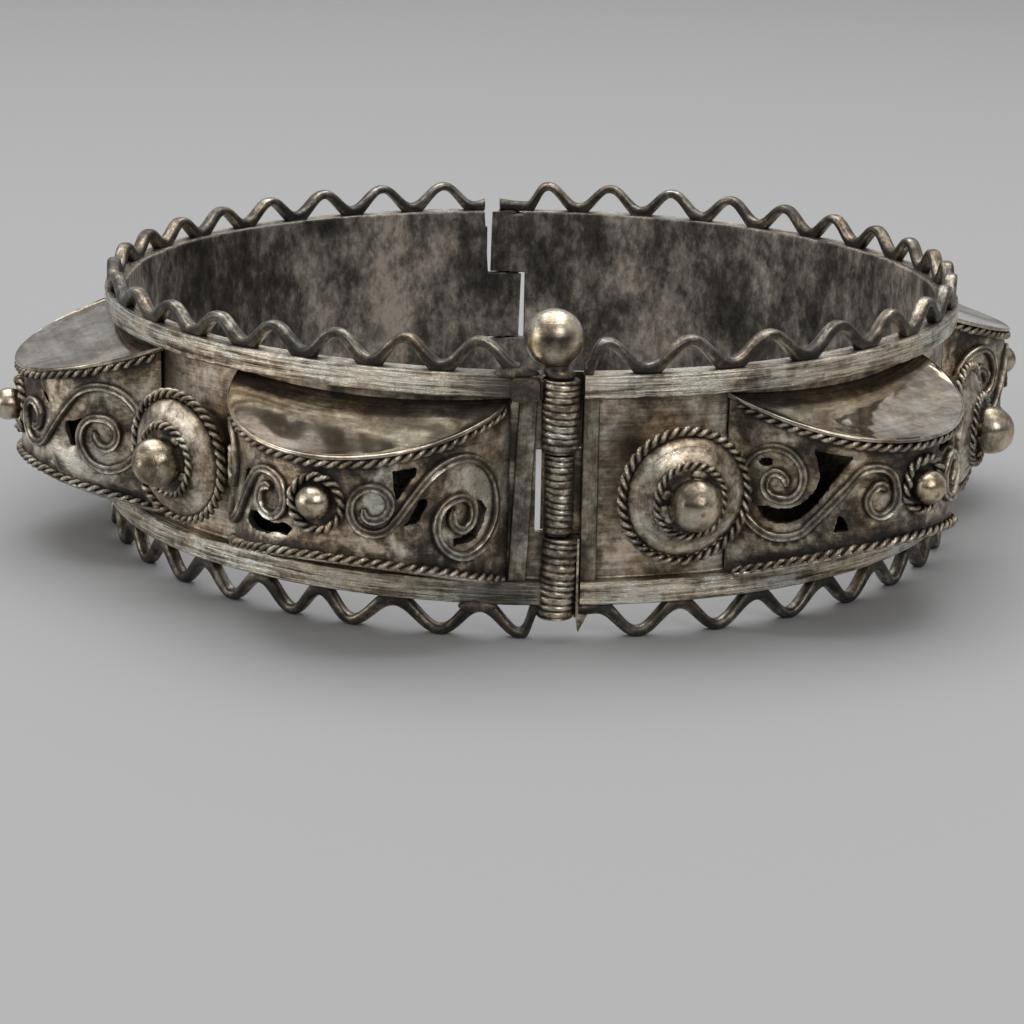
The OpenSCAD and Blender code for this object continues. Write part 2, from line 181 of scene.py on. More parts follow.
# Profile carried along a path: point = path + side * across + top * up, where side is square to the path
# and to the direction out, and top is square to both
def carry(path, out, across, up, closed=False, flow=0.0, tarnish=0.0):
    step = np.roll(path, -1, 0) - np.roll(path, 1, 0) if closed else np.gradient(path, axis=0)
    step = step / np.linalg.norm(step, axis=1, keepdims=True)
    side = np.cross(step, np.broadcast_to(out, path.shape))
    side /= np.linalg.norm(side, axis=1, keepdims=True)
    top = np.cross(side, step)
    points = path[:, None] + side[:, None] * across[..., None] + top[:, None] * up[..., None]
    return skin(points, closed, flow, tarnish)


twist = dict(sides=12, waist=0.3, power=0.9, uneven=0.07, waves=(1.1, 2.7, 5.3, 9.1), dark=1.3)


# Two wires twisted together: radius = r (waist + (1 - waist) |cos t|^power) with t turning along the
# path; hand is 1 or -1, the way they turn
def rope(path, out, radius, pitch, seed, closed=False, hand=1):
    along = runAlong(path)
    whole = along[-1] + (np.linalg.norm(path[0] - path[-1]) if closed else 0)
    turns = max(1, round(whole / pitch)) if closed else whole / pitch
    t = circle(twist["sides"])
    lobe = twist["waist"] + (1 - twist["waist"]) * np.abs(np.cos(t)) ** twist["power"]
    uneven = 1 + waver(along, twist["uneven"], seed, twist["waves"])
    r = radius * lobe[None] * uneven[:, None]
    angle = t[None] + (hand * tau * turns * along / whole)[:, None]
    return carry(path, out, r * np.cos(angle), r * np.sin(angle), closed, grid(along[:, None], t * radius),
        twist["dark"] * (1 - lobe))


# Profile (radius, height) turned about an axis that points out of the band; its ends lie on the axis,
# and swell adds to the radius
def turned(profile, steps, tarnish=0.0, swell=0.0):
    profile = np.asarray(profile, float)
    a = circle(steps)
    r, h = profile[:, :1] + swell, profile[:, 1:]
    return skin(grid(h, r * np.cos(a), r * np.sin(a)), flow=grid(a * 3, runAlong(profile)[:, None]),
        tarnish=np.reshape(tarnish, (-1, 1)))


# Smooth line through the given points, as many times finer (Catmull and Rom's cubic)
def smoothLine(points, finer):
    p = np.asarray(points, float)
    n = len(p)
    ext = np.concatenate([2 * p[:1] - p[1:2], p, 2 * p[-1:] - p[-2:-1]])
    t = np.linspace(0, n - 1, (n - 1) * finer + 1)
    k = np.minimum(t.astype(int), n - 2)
    f = (t - k)[:, None]
    a, b, c, d = (ext[k + m] for m in range(4))
    return 0.5 * (2 * b + (c - a) * f + (2 * a - 5 * b + 4 * c - d) * f ** 2 + (3 * b - a - 3 * c + d) * f ** 3)


# Closed outline with short round corners and points no further apart than spacing
def roundedOutline(corners, radius, spacing):
    c = np.asarray(corners, float)
    before, after = np.roll(c, 1, 0) - c, np.roll(c, -1, 0) - c
    before /= np.linalg.norm(before, axis=1, keepdims=True)
    after /= np.linalg.norm(after, axis=1, keepdims=True)
    t = np.linspace(0, 1, 5)[None, :, None]
    a, b = (c + before * radius)[:, None], (c + after * radius)[:, None]
    bends = (1 - t) ** 2 * a + 2 * t * (1 - t) * c[:, None] + t ** 2 * b
    parts = []
    for k in range(len(c)):
        nextBend = bends[(k + 1) % len(c)]
        n = max(1, int(np.linalg.norm(nextBend[0] - bends[k][-1]) / spacing))
        f = np.linspace(0, 1, n + 1)[1:-1, None]
        parts += [bends[k], bends[k][-1] * (1 - f) + nextBend[0] * f]
    return np.concatenate(parts)


# ---- shader nodes
shader = dict(tree=None)      # the node tree that is being built


def newMaterial(name):
    material = bpy.data.materials.new(name)
    material.use_nodes = True
    shader["tree"] = material.node_tree
    return material, material.node_tree.nodes["Principled BSDF"]


# A value that is a socket is linked, any other is set on the node's own socket
def feed(socket, value):
    if isinstance(value, bpy.types.NodeSocket):
        shader["tree"].links.new(value, socket)
    else:
        socket.default_value = value


def addNode(kind, inputs=None, **settings):
    node = shader["tree"].nodes.new("ShaderNode" + kind)
    for key, value in settings.items():
        setattr(node, key, value)
    for key, value in (inputs or {}).items():
        feed(node.inputs[key], value)
    return node


def noise(place, size, detail, roughness=0.5, distortion=0.0):
    return addNode("TexNoise", {"Vector": place, "Scale": size, "Detail": detail, "Roughness": roughness,
        "Distortion": distortion}).outputs[0]


def stretched(place, factors):
    return addNode("Mapping", {"Vector": place, "Scale": factors}).outputs[0]


def ramp(value, low, high, toLow=0.0, toHigh=1.0):
    return addNode("MapRange", {"Value": value, "From Min": low, "From Max": high,
        "To Min": toLow, "To Max": toHigh}, clamp=True).outputs[0]


def blendColour(share, first, second, kind="MIX"):
    colours = [c if isinstance(c, bpy.types.NodeSocket) else (*c, 1.0) for c in (first, second)]
    return addNode("Mix", {0: share, 6: colours[0], 7: colours[1]}, data_type="RGBA",
        blend_type=kind).outputs[2]


def plus(a, b):
    return addNode("Math", {0: a, 1: b}, operation="ADD").outputs[0]


def times(a, b):
    return addNode("Math", {0: a, 1: b}, operation="MULTIPLY", use_clamp=True).outputs[0]


# Colours at steps of a value, each multiplied by the tint
def colourSteps(value, steps, tint=(1.0, 1.0, 1.0)):
    node = addNode("ValToRGB", {"Fac": value})
    while len(node.color_ramp.elements) < len(steps):
        node.color_ramp.elements.new(0.5)
    for element, (at, colour) in zip(node.color_ramp.elements, steps):
        element.position = at
        element.color = (*(c * t for c, t in zip(colour, tint)), 1)
    return node.outputs[0]


def bumpBy(bsdf, height, strength, distance):
    bump = addNode("Bump", {"Height": height, "Strength": strength, "Distance": distance})
    feed(bsdf.inputs["Normal"], bump.outputs[0])


# ---- metals
# Colours of old silver, from the deepest tarnish to rubbed metal
silverSteps = [(0.00, (0.016, 0.0145, 0.013)), (0.20, (0.045, 0.038, 0.031)), (0.40, (0.145, 0.122, 0.098)),
    (0.58, (0.33, 0.293, 0.245)), (0.76, (0.58, 0.545, 0.485)), (1.00, (0.88, 0.86, 0.80))]
warm, cool = (1.0, 0.925, 0.83), (0.90, 0.96, 1.0)
# Size and detail of the noises that all the metals share, and the middle span that each is stretched from
fineness = dict(mottle=1500.0, leaning=230.0, nookSamples=6, span=(0.36, 0.64), mottleSpan=(0.34, 0.66),
    bumpDepth=0.00015, streakShare=0.55)


# Old silver: how rubbed it is = base + shares of large patches, fine mottle, scratches along the flow
# and the open or hidden lie of the place, less the "tarnish" of the place; colour, roughness and gloss
# all follow from that. The colour leans slowly between warm and cool, and each blot is soft: real stains,
# and painted shadow and painted reflection where a look lists them
def oldSilver(name, look):
    material, bsdf = newMaterial(name)
    place = addNode("TexCoord").outputs["Object"]
    flow = addNode("Attribute", attribute_name="flow").outputs["Vector"]
    recess = addNode("Attribute", attribute_name="tarnish").outputs["Fac"]
    patches = noise(place, look["patchScale"], 5.0, 0.6, 0.4)
    if look["streaks"]:
        brushed = noise(stretched(flow, look["streaks"]), 1.0, 5.0, 0.65)
        patches = plus(times(patches, 1 - fineness["streakShare"]),
            times(brushed, fineness["streakShare"]))
    mottle = noise(place, fineness["mottle"], 6.0, 0.75)
    scratches = noise(stretched(flow, look["lineScale"]), 1.0, 6.0, 0.72)
    nook = addNode("AmbientOcclusion", {"Distance": look["nookSize"]}, samples=fineness["nookSamples"])
    rubbed = ramp(patches, *fineness["span"], look["base"] - look["patch"], look["base"] + look["patch"])
    for value, low, high, share in ((mottle, *fineness["mottleSpan"], look["mottle"]),
            (scratches, *fineness["span"], look["lines"]),
            (nook.outputs["AO"], look["nookDark"], 0.95, look["nook"] / 2)):
        rubbed = plus(rubbed, ramp(value, low, high, -share, share))
    rubbed = plus(rubbed, ramp(recess, 0.0, 1.0, 0.0, -look["recess"]))
    colour = colourSteps(rubbed, silverSteps, look["tint"])
    leaning = ramp(noise(place, fineness["leaning"], 2.0), 0.38, 0.62)
    colour = blendColour(look["lean"], colour, blendColour(leaning, warm, cool), "MULTIPLY")
    # blots: real stains, painted shadows and painted reflections, each as the look lists them
    for x, y, z, reach, tone in look["stainsAndPaintedShade"]:
        centre = tuple(toMetres * c for c in (x, y, z))
        away = addNode("VectorMath", {0: place, 1: centre}, operation="DISTANCE").outputs["Value"]
        blot = plus(ramp(away, 0.0, toMetres * reach, 1.0, 0.0),
            ramp(patches, 0.3, 0.7, -0.3, 0.25))
        colour = blendColour(ramp(blot, 0.10, 0.80, 0.0, 0.85), colour, tone)
    feed(bsdf.inputs["Base Color"], colour)
    smooth, rough = look["roughness"]
    speckle = ramp(mottle, 0.3, 0.7, -0.14 * look["grain"], 0.14 * look["grain"])
    feed(bsdf.inputs["Roughness"], plus(ramp(rubbed, 0.15, 0.9, rough, smooth), speckle))
    feed(bsdf.inputs["Metallic"], ramp(rubbed, 0.1, 0.5, 0.35, look["metal"]))
    height = plus(times(mottle, look["grain"]), times(scratches, look["groove"]))
    bumpBy(bsdf, height, look["bump"], fineness["bumpDepth"])
    return material


# A look's numbers: base, patch, mottle, lines, nook and recess are shares of "rubbed"; patchScale is the
# patches' fineness, lineScale and streaks the scratches' and brush marks' along and across the flow;
# nookSize is how far a hidden place looks for its walls; roughness runs from rubbed to tarnished; grain,
# groove and bump shape the surface; lean is the share of warm and cool. A blot is x, y, z, reach, colour;
# the blots are real stains, painted shadows and painted reflections
# The soot colour marks real soot, and also paints shadow beside the clasp's end bar and between a box and a boss;
# the dark mirror colour paints the reflection of the dark side towards the viewer in the clasp ball
verdigris, sootAndPaintedShadow, slate = (0.15, 0.29, 0.30), (0.050, 0.044, 0.037), (0.060, 0.064, 0.070)
paintedReflectionDark, amber = (0.022, 0.020, 0.018), (0.34, 0.25, 0.12)
commonLook = dict(base=0.52, patch=0.22, patchScale=420.0, mottle=0.16, lines=0.06, lineScale=(0.25, 6.0, 1.0),
    nook=0.30, nookSize=0.0010, nookDark=0.25, recess=0.45, tint=(1.0, 1.0, 1.0),
    roughness=(0.20, 0.50), grain=0.5, groove=0.4, bump=0.5, stainsAndPaintedShade=(), streaks=None,
    lean=0.8, metal=1.0)
looks = {
    "rim": dict(base=0.61, patch=0.40, patchScale=300.0, mottle=0.18, lines=0.32, lineScale=(0.16, 5.0, 1.0),
        tint=(1.0, 0.97, 0.91), groove=1.0, bump=0.9, roughness=(0.22, 0.52), streaks=(0.22, 1.7, 1.0),
        stainsAndPaintedShade=[(-28.5, -14.0, 15.6, 1.6, verdigris), (-4.2, -31.4, 4.2, 0.5, verdigris),
            (-3.0, -31.6, 17.0, 6.5, sootAndPaintedShadow), (-3.4, -31.5, 3.0, 5.0, sootAndPaintedShadow)]),
    "panel": dict(base=0.53, patch=0.26, patchScale=260.0, lines=0.12, lineScale=(0.2, 3.0, 1.0),
        tint=(1.0, 0.93, 0.85), roughness=(0.26, 0.52),
        # The soot blots at (-26.6, -15.4) and at x -3.3 are painted shadow: the dark gap between boss 1 and box 2,
        # and the gap beside the clasp's end bar
        stainsAndPaintedShade=[(-27.6, -14.5, 15.0, 1.8, verdigris), (-26.6, -15.4, 14.6, 4.5, sootAndPaintedShadow),
            (4.9, -30.3, 13.2, 2.2, sootAndPaintedShadow), (-3.3, -30.6, 13.5, 2.4, sootAndPaintedShadow),
            (-3.3, -30.6, 8.0, 2.4, sootAndPaintedShadow)]),
    "gallery": dict(base=0.32, patch=0.18, mottle=0.18, lines=0.18, lineScale=(0.4, 1.6, 1.0), nookSize=0.0006,
        tint=(0.97, 0.975, 0.96), roughness=(0.20, 0.44),
        stainsAndPaintedShade=[(-3.0, -31.2, 18.6, 2.0, sootAndPaintedShadow), (-4.6, -31.2, 2.0, 1.6, sootAndPaintedShadow)]),
    "bar": dict(base=0.33, patch=0.14, nook=0.34, tint=(0.97, 0.98, 0.92), roughness=(0.30, 0.52)),
    "solder": dict(base=0.25, patch=0.12, mottle=0.20, nook=0.20, roughness=(0.36, 0.55), grain=0.9, bump=0.8),
    "plate": dict(base=0.60, patchScale=200.0, mottle=0.10, lines=0.08, lineScale=(0.12, 1.4, 1.0), nook=0.12,
        tint=(1.0, 0.955, 0.90), roughness=(0.02, 0.20), grain=0.08, groove=0.10, bump=0.08,
        metal=0.95),
    "face": dict(base=0.56, patch=0.36, patchScale=330.0, mottle=0.22, nook=0.34, nookSize=0.0007, recess=0.60,
        tint=(1.0, 0.95, 0.87), roughness=(0.26, 0.52), lean=1.0, metal=0.9,
        stainsAndPaintedShade=[(-23.2, -27.6, 7.2, 2.2, slate), (-6.4, -36.9, 9.0, 1.6, sootAndPaintedShadow)]),
    "wire": dict(base=0.53, patch=0.14, mottle=0.20, nook=0.34, nookSize=0.0005, recess=0.52,
        tint=(1.0, 0.96, 0.89), roughness=(0.22, 0.48)),
    "scroll": dict(base=0.48, patch=0.18, mottle=0.20, nook=0.34, nookSize=0.0005, recess=0.50,
        tint=(0.99, 0.97, 0.93), roughness=(0.22, 0.46)),
    "boss": dict(base=0.54, mottle=0.24, nook=0.36, nookSize=0.0008, tint=(1.0, 0.93, 0.84),
        roughness=(0.24, 0.50)),
    "ball": dict(patch=0.26, patchScale=480.0, nookSize=0.0006, tint=(1.0, 0.92, 0.79), roughness=(0.14, 0.42),
        grain=0.3, bump=0.3,
        stainsAndPaintedShade=[(7.7, -35.5, 11.3, 1.9, sootAndPaintedShadow), (-26.3, -23.0, 10.6, 1.3, sootAndPaintedShadow)]),
    "head": dict(base=0.56, patch=0.20, nookSize=0.0006, tint=(1.0, 0.965, 0.89), roughness=(0.20, 0.42),
        grain=0.3, bump=0.25,
        # The two dark blots on the ball's front are a painted reflection of the dark side towards the viewer
        stainsAndPaintedShade=[(-1.0, -33.1, 20.55, 1.15, paintedReflectionDark), (-0.05, -33.1, 20.5, 1.15, paintedReflectionDark),
            (-2.0, -32.2, 20.4, 0.9, amber)]),
    "coil": dict(base=0.45, patch=0.26, patchScale=520.0, mottle=0.28, nookSize=0.0004, tint=(1.0, 0.97, 0.91),
        roughness=(0.24, 0.48)),
}
metals = {key: oldSilver("silver_" + key, {**commonLook, **look}) for key, look in looks.items()}
print("metals ready")

# ---- inside of the band: dark brown film with pale rubbed streaks that run up and down
inside = dict(steps=[(0.20, (0.030, 0.027, 0.023)), (0.40, (0.085, 0.075, 0.063)), (0.58, (0.23, 0.200, 0.168)),
    (0.76, (0.46, 0.40, 0.335))], stretch=(1.0, 1.0, 0.6), metal=0.6,
    noises=((85.0, 2.0, 0.50), (300.0, 6.0, 0.52), (1500.0, 6.0, 0.36)))    # fineness, detail, share


# Tone = a half + the share of each noise
def liningMetal(name, look):
    material, bsdf = newMaterial(name)
    place = stretched(addNode("TexCoord").outputs["Object"], look["stretch"])
    tone = 0.5
    for size, detail, share in look["noises"]:
        cloud = noise(place, size, detail, 0.72)
        tone = plus(tone, ramp(cloud, 0.3, 0.7, -share / 2, share / 2))
    feed(bsdf.inputs["Base Color"], colourSteps(tone, look["steps"]))
    feed(bsdf.inputs["Roughness"], ramp(tone, 0.3, 0.7, 0.42, 0.55))
    feed(bsdf.inputs["Metallic"], look["metal"])
    bumpBy(bsdf, tone, 0.4, 0.0001)
    return material


liningSilver = liningMetal("silver_lining", inside)

# ---- bands
wear = dict(dip=0.05, dipWaves=9, dents=0.03, dentWaves=40, bend=0.05, bendWaves=14)
sweep = dict(degrees=0.6, spacing=0.55, corner=0.17)


# Section of liner and rims swept round the left half. Away from the liner, radius = r - dips - dents, and
# the rims' inner edges run a little up and down
def sweptBand(corners, fromAngle, toAngle, seed):
    outline = roundedOutline(corners, sweep["corner"], sweep["spacing"])
    steps = max(3, int(abs(toAngle - fromAngle) / sweep["degrees"]))
    a = np.radians(np.linspace(fromAngle, toAngle, steps))[:, None]
    r, z = outline[:, 0][None], outline[:, 1][None]
    onRim = np.clip((r - lR - 0.2) / 0.6, 0, 1)
    dips = np.abs(waver(a * wear["dipWaves"], wear["dip"], seed))
    dents = np.abs(waver2(a * wear["dentWaves"], z, wear["dents"], seed + 3))
    r = r - (dips + dents) * onRim
    innerEdge = np.abs(z) < 7
    z = z + waver(a * wear["bendWaves"] + np.sign(z), wear["bend"], seed + 7) * onRim * innerEdge
    around = -a - math.pi / 2
    return skin(polar(r, around, z + midZ),
        flow=grid(a * 31, runAlong(outline)[None]))


coil = dict(pitch=0.45, depth=0.182, bore=0.56, perPitch=9, steps=48, endRound=0.12, endIn=0.08)


# Knuckle wound of fine wire: radius = R - depth (1 - sqrt(1 - x^2)) with x across each winding, as a
# helix; lean is how far it leans per millimetre of height
def knuckle(x, y, low, high, radius, seed, lean=0.0):
    n = int((high - low) / coil["pitch"] * coil["perPitch"])
    z = np.linspace(low, high, n)[:, None]
    a = circle(coil["steps"])[None]
    unevenZ = z + waver(z, 0.11, seed) + 0.05 * np.sin(a + 1.7 * z)
    across = (unevenZ / coil["pitch"] + a / tau) % 1.0 * 2 - 1
    groove = 1 - np.sqrt(np.maximum(0, 1 - (0.97 * across) ** 2))
    ends = np.clip(np.minimum(z - low, high - z) / coil["endRound"], 0, 1) ** 0.5
    r = (radius - coil["depth"] * groove - coil["endIn"] * (1 - ends)
        - np.abs(waver2(a * 2, z * 0.6, 0.03, seed)))
    outer = grid(x + lean * (z - low) + r * np.cos(a), y + r * np.sin(a), z + midZ)
    b, z2 = coil["bore"], z[[-1, 0]]
    inner = grid(x + lean * (z2 - low) + b * np.cos(a), y + b * np.sin(a), z2 + midZ)
    dark = np.concatenate([np.clip(groove * 1.2, 0, 1), np.ones((2, coil["steps"]))])
    return skin(np.concatenate([outer, inner]), True, grid(a * radius, 0.0), dark)


bar = dict(halfH=6.35, backR=30.55, thick=0.75, corner=0.12, spacing=0.3, steps=40)


# Upright strip at the end of a half, beside the knuckles; lean is how far its foot stands off
def endBar(side, start, width, lean, seed):
    z = np.linspace(-bar["halfH"], bar["halfH"], bar["steps"])[:, None]
    edge = start + lean * (bar["halfH"] - z) / (2 * bar["halfH"])
    corners = [[0, 0], [width, 0], [width, bar["thick"]], [0, bar["thick"]]]
    across, out = (c[None] for c in roundedOutline(corners, bar["corner"], bar["spacing"]).T)
    x = edge + across
    y = -np.sqrt(bar["backR"] ** 2 - x ** 2) - out - np.abs(waver2(x * 3, z, 0.04, seed))
    return skin(grid(side * x, y, z + midZ), flow=grid(z, across))


knuckleTop, knuckleFoot = 7.55, -8.6      # the rim behind the upper knuckle ends with it
wholeSection = [[iR, -hh], [rR, -hh], [rR, -rz], [lR, -rz], [lR, rz], [rR, rz], [rR, hh], [iR, hh]]
upperSection = [[iR, upperSplit], [lR, upperSplit], [lR, rz], [rR, rz], [rR, hh], [iR, hh]]
shortSection = upperSection[:4] + [[rR, knuckleTop], [iR, knuckleTop]]
lowerSection = [[iR, -hh], [rR, -hh], [rR, -rz], [lR, -rz], [lR, lowerSplit], [iR, lowerSplit]]
middleSection = [[iR, lowerSplit], [lR, lowerSplit], [lR, upperSplit], [iR, upperSplit]]


# Sheet behind the knuckles: part of the liner that reaches past the pin on the inside, from one x to
# another; side is 1 at the hinge and -1 at the clasp
def innerTab(side, low, high, fromX, toX, slant=0.0):
    nearR, midR, thick = iR + 0.02, iR + 0.1, 0.3
    z = np.linspace(low, high, 12)[:, None]
    a0 = np.arcsin(fromX / midR)
    a1 = np.arcsin((toX + slant * (z - low) / (high - low)) / midR)
    there = np.linspace(0, 1, 5)
    f, out = np.concatenate([there, there[::-1]])[None], np.repeat([0, 1], 5)[None]
    a, r = a0 + (a1 - a0) * f, nearR + thick * out
    return skin(grid(r * np.sin(a), side * r * np.cos(a), z + midZ))


# Band of one half in the left half's place: upper and lower knuckle at the clasp, middle one at the
# hinge. Each section runs from one angle to another, counted from the clasp; hingeCut is left out at the
# hinge, lean and hingeBar place the end bars, and askew is 1 where the clasp's knuckles stand off axis
def halfBand(seed, lean, hingeCut, hingeBar, askew):
    half = splitGap / 2
    sheets = inMetal("rim", sweptBand(wholeSection, 2.8, 180 - hingeCut, seed),
        sweptBand(shortSection, 0.35, 2.32, seed), sweptBand(upperSection, 2.3, 2.82, seed),
        sweptBand(lowerSection, 0.35, 2.82, seed),
        sweptBand(middleSection, 180 - hingeCut - 0.02, 179.65, seed))
    tubes = inMetal("coil",
        knuckle(0.0, -aR - 0.08 * askew, upperSplit + half, knuckleTop, 1.19 + 0.08 * askew, seed),
        knuckle(-0.05 * askew, -aR - 0.08 * askew, knuckleFoot, lowerSplit - half,
            1.19 + 0.06 * askew, seed + 1, 0.05 * askew),
        knuckle(0.0, aR, lowerSplit + half, upperSplit - half, 1.05, seed + 2))
    bars = inMetal("bar", endBar(-1, 1.45, 1.2, lean, seed),
        mirrored(endBar(1, hingeBar, 1.1, 0.0, seed + 4), otherHalf))
    return sheets + tubes + bars


# Inner faces get the metal of the lining, the liner's outer side that of the panels
def dressBand(piece):
    mesh = piece.data
    mesh.materials.append(liningSilver)
    mesh.materials.append(metals["panel"])
    names = [m.name for m in mesh.materials]
    centre, normal = np.zeros((2, len(mesh.polygons) * 3))
    index = np.zeros(len(mesh.polygons), np.int32)
    mesh.polygons.foreach_get("center", centre)
    mesh.polygons.foreach_get("normal", normal)
    mesh.polygons.foreach_get("material_index", index)
    c, n = centre.reshape(-1, 3), normal.reshape(-1, 3)
    r = np.hypot(c[:, 0], c[:, 1])
    outward = (c[:, :2] * n[:, :2]).sum(1) / r
    lining = (outward < -0.5) & (r < toMetres * (iR + 0.3))
    index[lining] = names.index(liningSilver.name)
    panel = (outward > 0.5) & (r < toMetres * (lR + 0.2)) & (index == names.index("silver_rim"))
    index[panel] = names.index("silver_panel")
    mesh.polygons.foreach_set("material_index", index)


# Ball a little out of true; rings from pole to pole
def ball(centre, radius, seed, steps, dents=0.025, rings=28):
    b = np.linspace(0.02, math.pi - 0.02, rings)
    part = turned(np.stack([radius * np.sin(b), radius * np.cos(b)], -1), steps)
    v = part["verts"]
    v += v * waver2(v[:, 1] * 1.6, v[:, 2] * 1.6 + v[:, 0], dents, seed)[:, None]
    return dict(part, verts=v + np.asarray(centre))


# Uneven lump of solder: a ball with three radii
def lump(centre, radii, seed):
    part = ball([0, 0, 0], 1.0, seed, 20, rings=14)
    return dict(part, verts=part["verts"] * radii + np.asarray(centre))


# Flat block of solder over the rim's end, from one x to another and one height to another, smaller
# towards the front
def block(xs, zs, seed):
    a = circle(40)[None]
    y = np.linspace(-32.0, -31.2, 7)[:, None]
    across, high = (w * (span[1] - span[0]) / 2 for w, span in zip(squarish(a, 0.35), (xs, zs)))
    swell = 0.85 + 0.15 * np.sqrt(np.clip((y + 32.04) / 0.3, 0.02, 1))
    swell = swell * (1 + waver2(a * 2, y * 0.5, 0.08, seed))
    return skin(grid(sum(xs) / 2 + across * swell, y + waver2(across * 2, high * 2, 0.05, seed),
        sum(zs) / 2 + high * swell))


leftTabs = inMetal("solder", lump([-2.9, -31.15, 18.05], [1.5, 0.6, 0.42], 61),
    block([-3.3, -1.35], [16.2, 17.9], 62), lump([-5.2, -31.1, 2.25], [1.3, 0.45, 0.42], 63))
# Heights behind the upper, the middle and the lower knuckle
topSpan, middleSpan = (upperSplit + 0.12, hh - 0.02), (lowerSplit + 0.12, upperSplit - 0.12)
lowSpan = (-hh + 0.02, lowerSplit - 0.12)
leftTabs += inMetal("rim", innerTab(1, *middleSpan, -0.4, 0.95, 0.15), innerTab(-1, *topSpan, -0.4, 1.45),
    innerTab(-1, *lowSpan, -0.4, 1.45))
rightTabs = inMetal("rim", innerTab(1, *topSpan, 0.4, -1.52, 0.10), innerTab(1, *lowSpan, 0.4, -1.71),
    innerTab(-1, *middleSpan, 0.4, -1.10))
# Free edge of the right half's sheet beside the lower knuckle, ending in a point under the rim: rows of
# height and the two sides' x
edgeRows = [(lowerSplit - 0.1, 1.24, 1.38), (-6.5, 1.24, 1.38), (-8.25, 1.24, 1.42), (-8.35, 1.24, 2.0),
    (-9.5, 1.40, 1.43)]
frontY, backY = -31.95, -31.3
edgeStrip = skin(np.array([
    [[x, y, z + midZ] for x, y in ((x1, frontY), (x2, frontY), (x2, backY), (x1, backY))]
    for z, x1, x2 in edgeRows]))
rightTabs += inMetal("coil", edgeStrip)
leftHalf = halfBand(21, 0.6, 3.3, 1.8, 1)
# The left half's upper corner at the hinge leans away from the other half
v = leftHalf[0]["verts"]
cornerShare = np.clip(1 - (-1.73 - v[:, 0]) / 1.2, 0, 1) * (v[:, 1] > 0)
v[:, 0] -= 0.36 * cornerShare * np.clip((v[:, 2] - midZ - upperSplit) / 5.2, 0, 1)
rightHalf = [mirrored(p, otherHalf) for p in halfBand(43, 0.0, 2.8, 1.5, 0)]
for side, parts in (("left", leftHalf + leftTabs), ("right", rightHalf + rightTabs)):
    dressBand(makePiece(side + "_band_worn", parts, side + "_half", side + "_band"))
print("bands done")

# ---- wavy galleries
wave = dict(height=2.4, wire=0.70, deep=0.98, web=0.35, setBack=0.2, perWave=36, sides=20, footIn=0.10,
    tailSteps=7, tailLift=0.25)


# A line made longer at its start (end 0) or at its other end
def lengthened(line, extra, end):
    return np.concatenate([extra[::-1], line] if end == 0 else [line, extra])


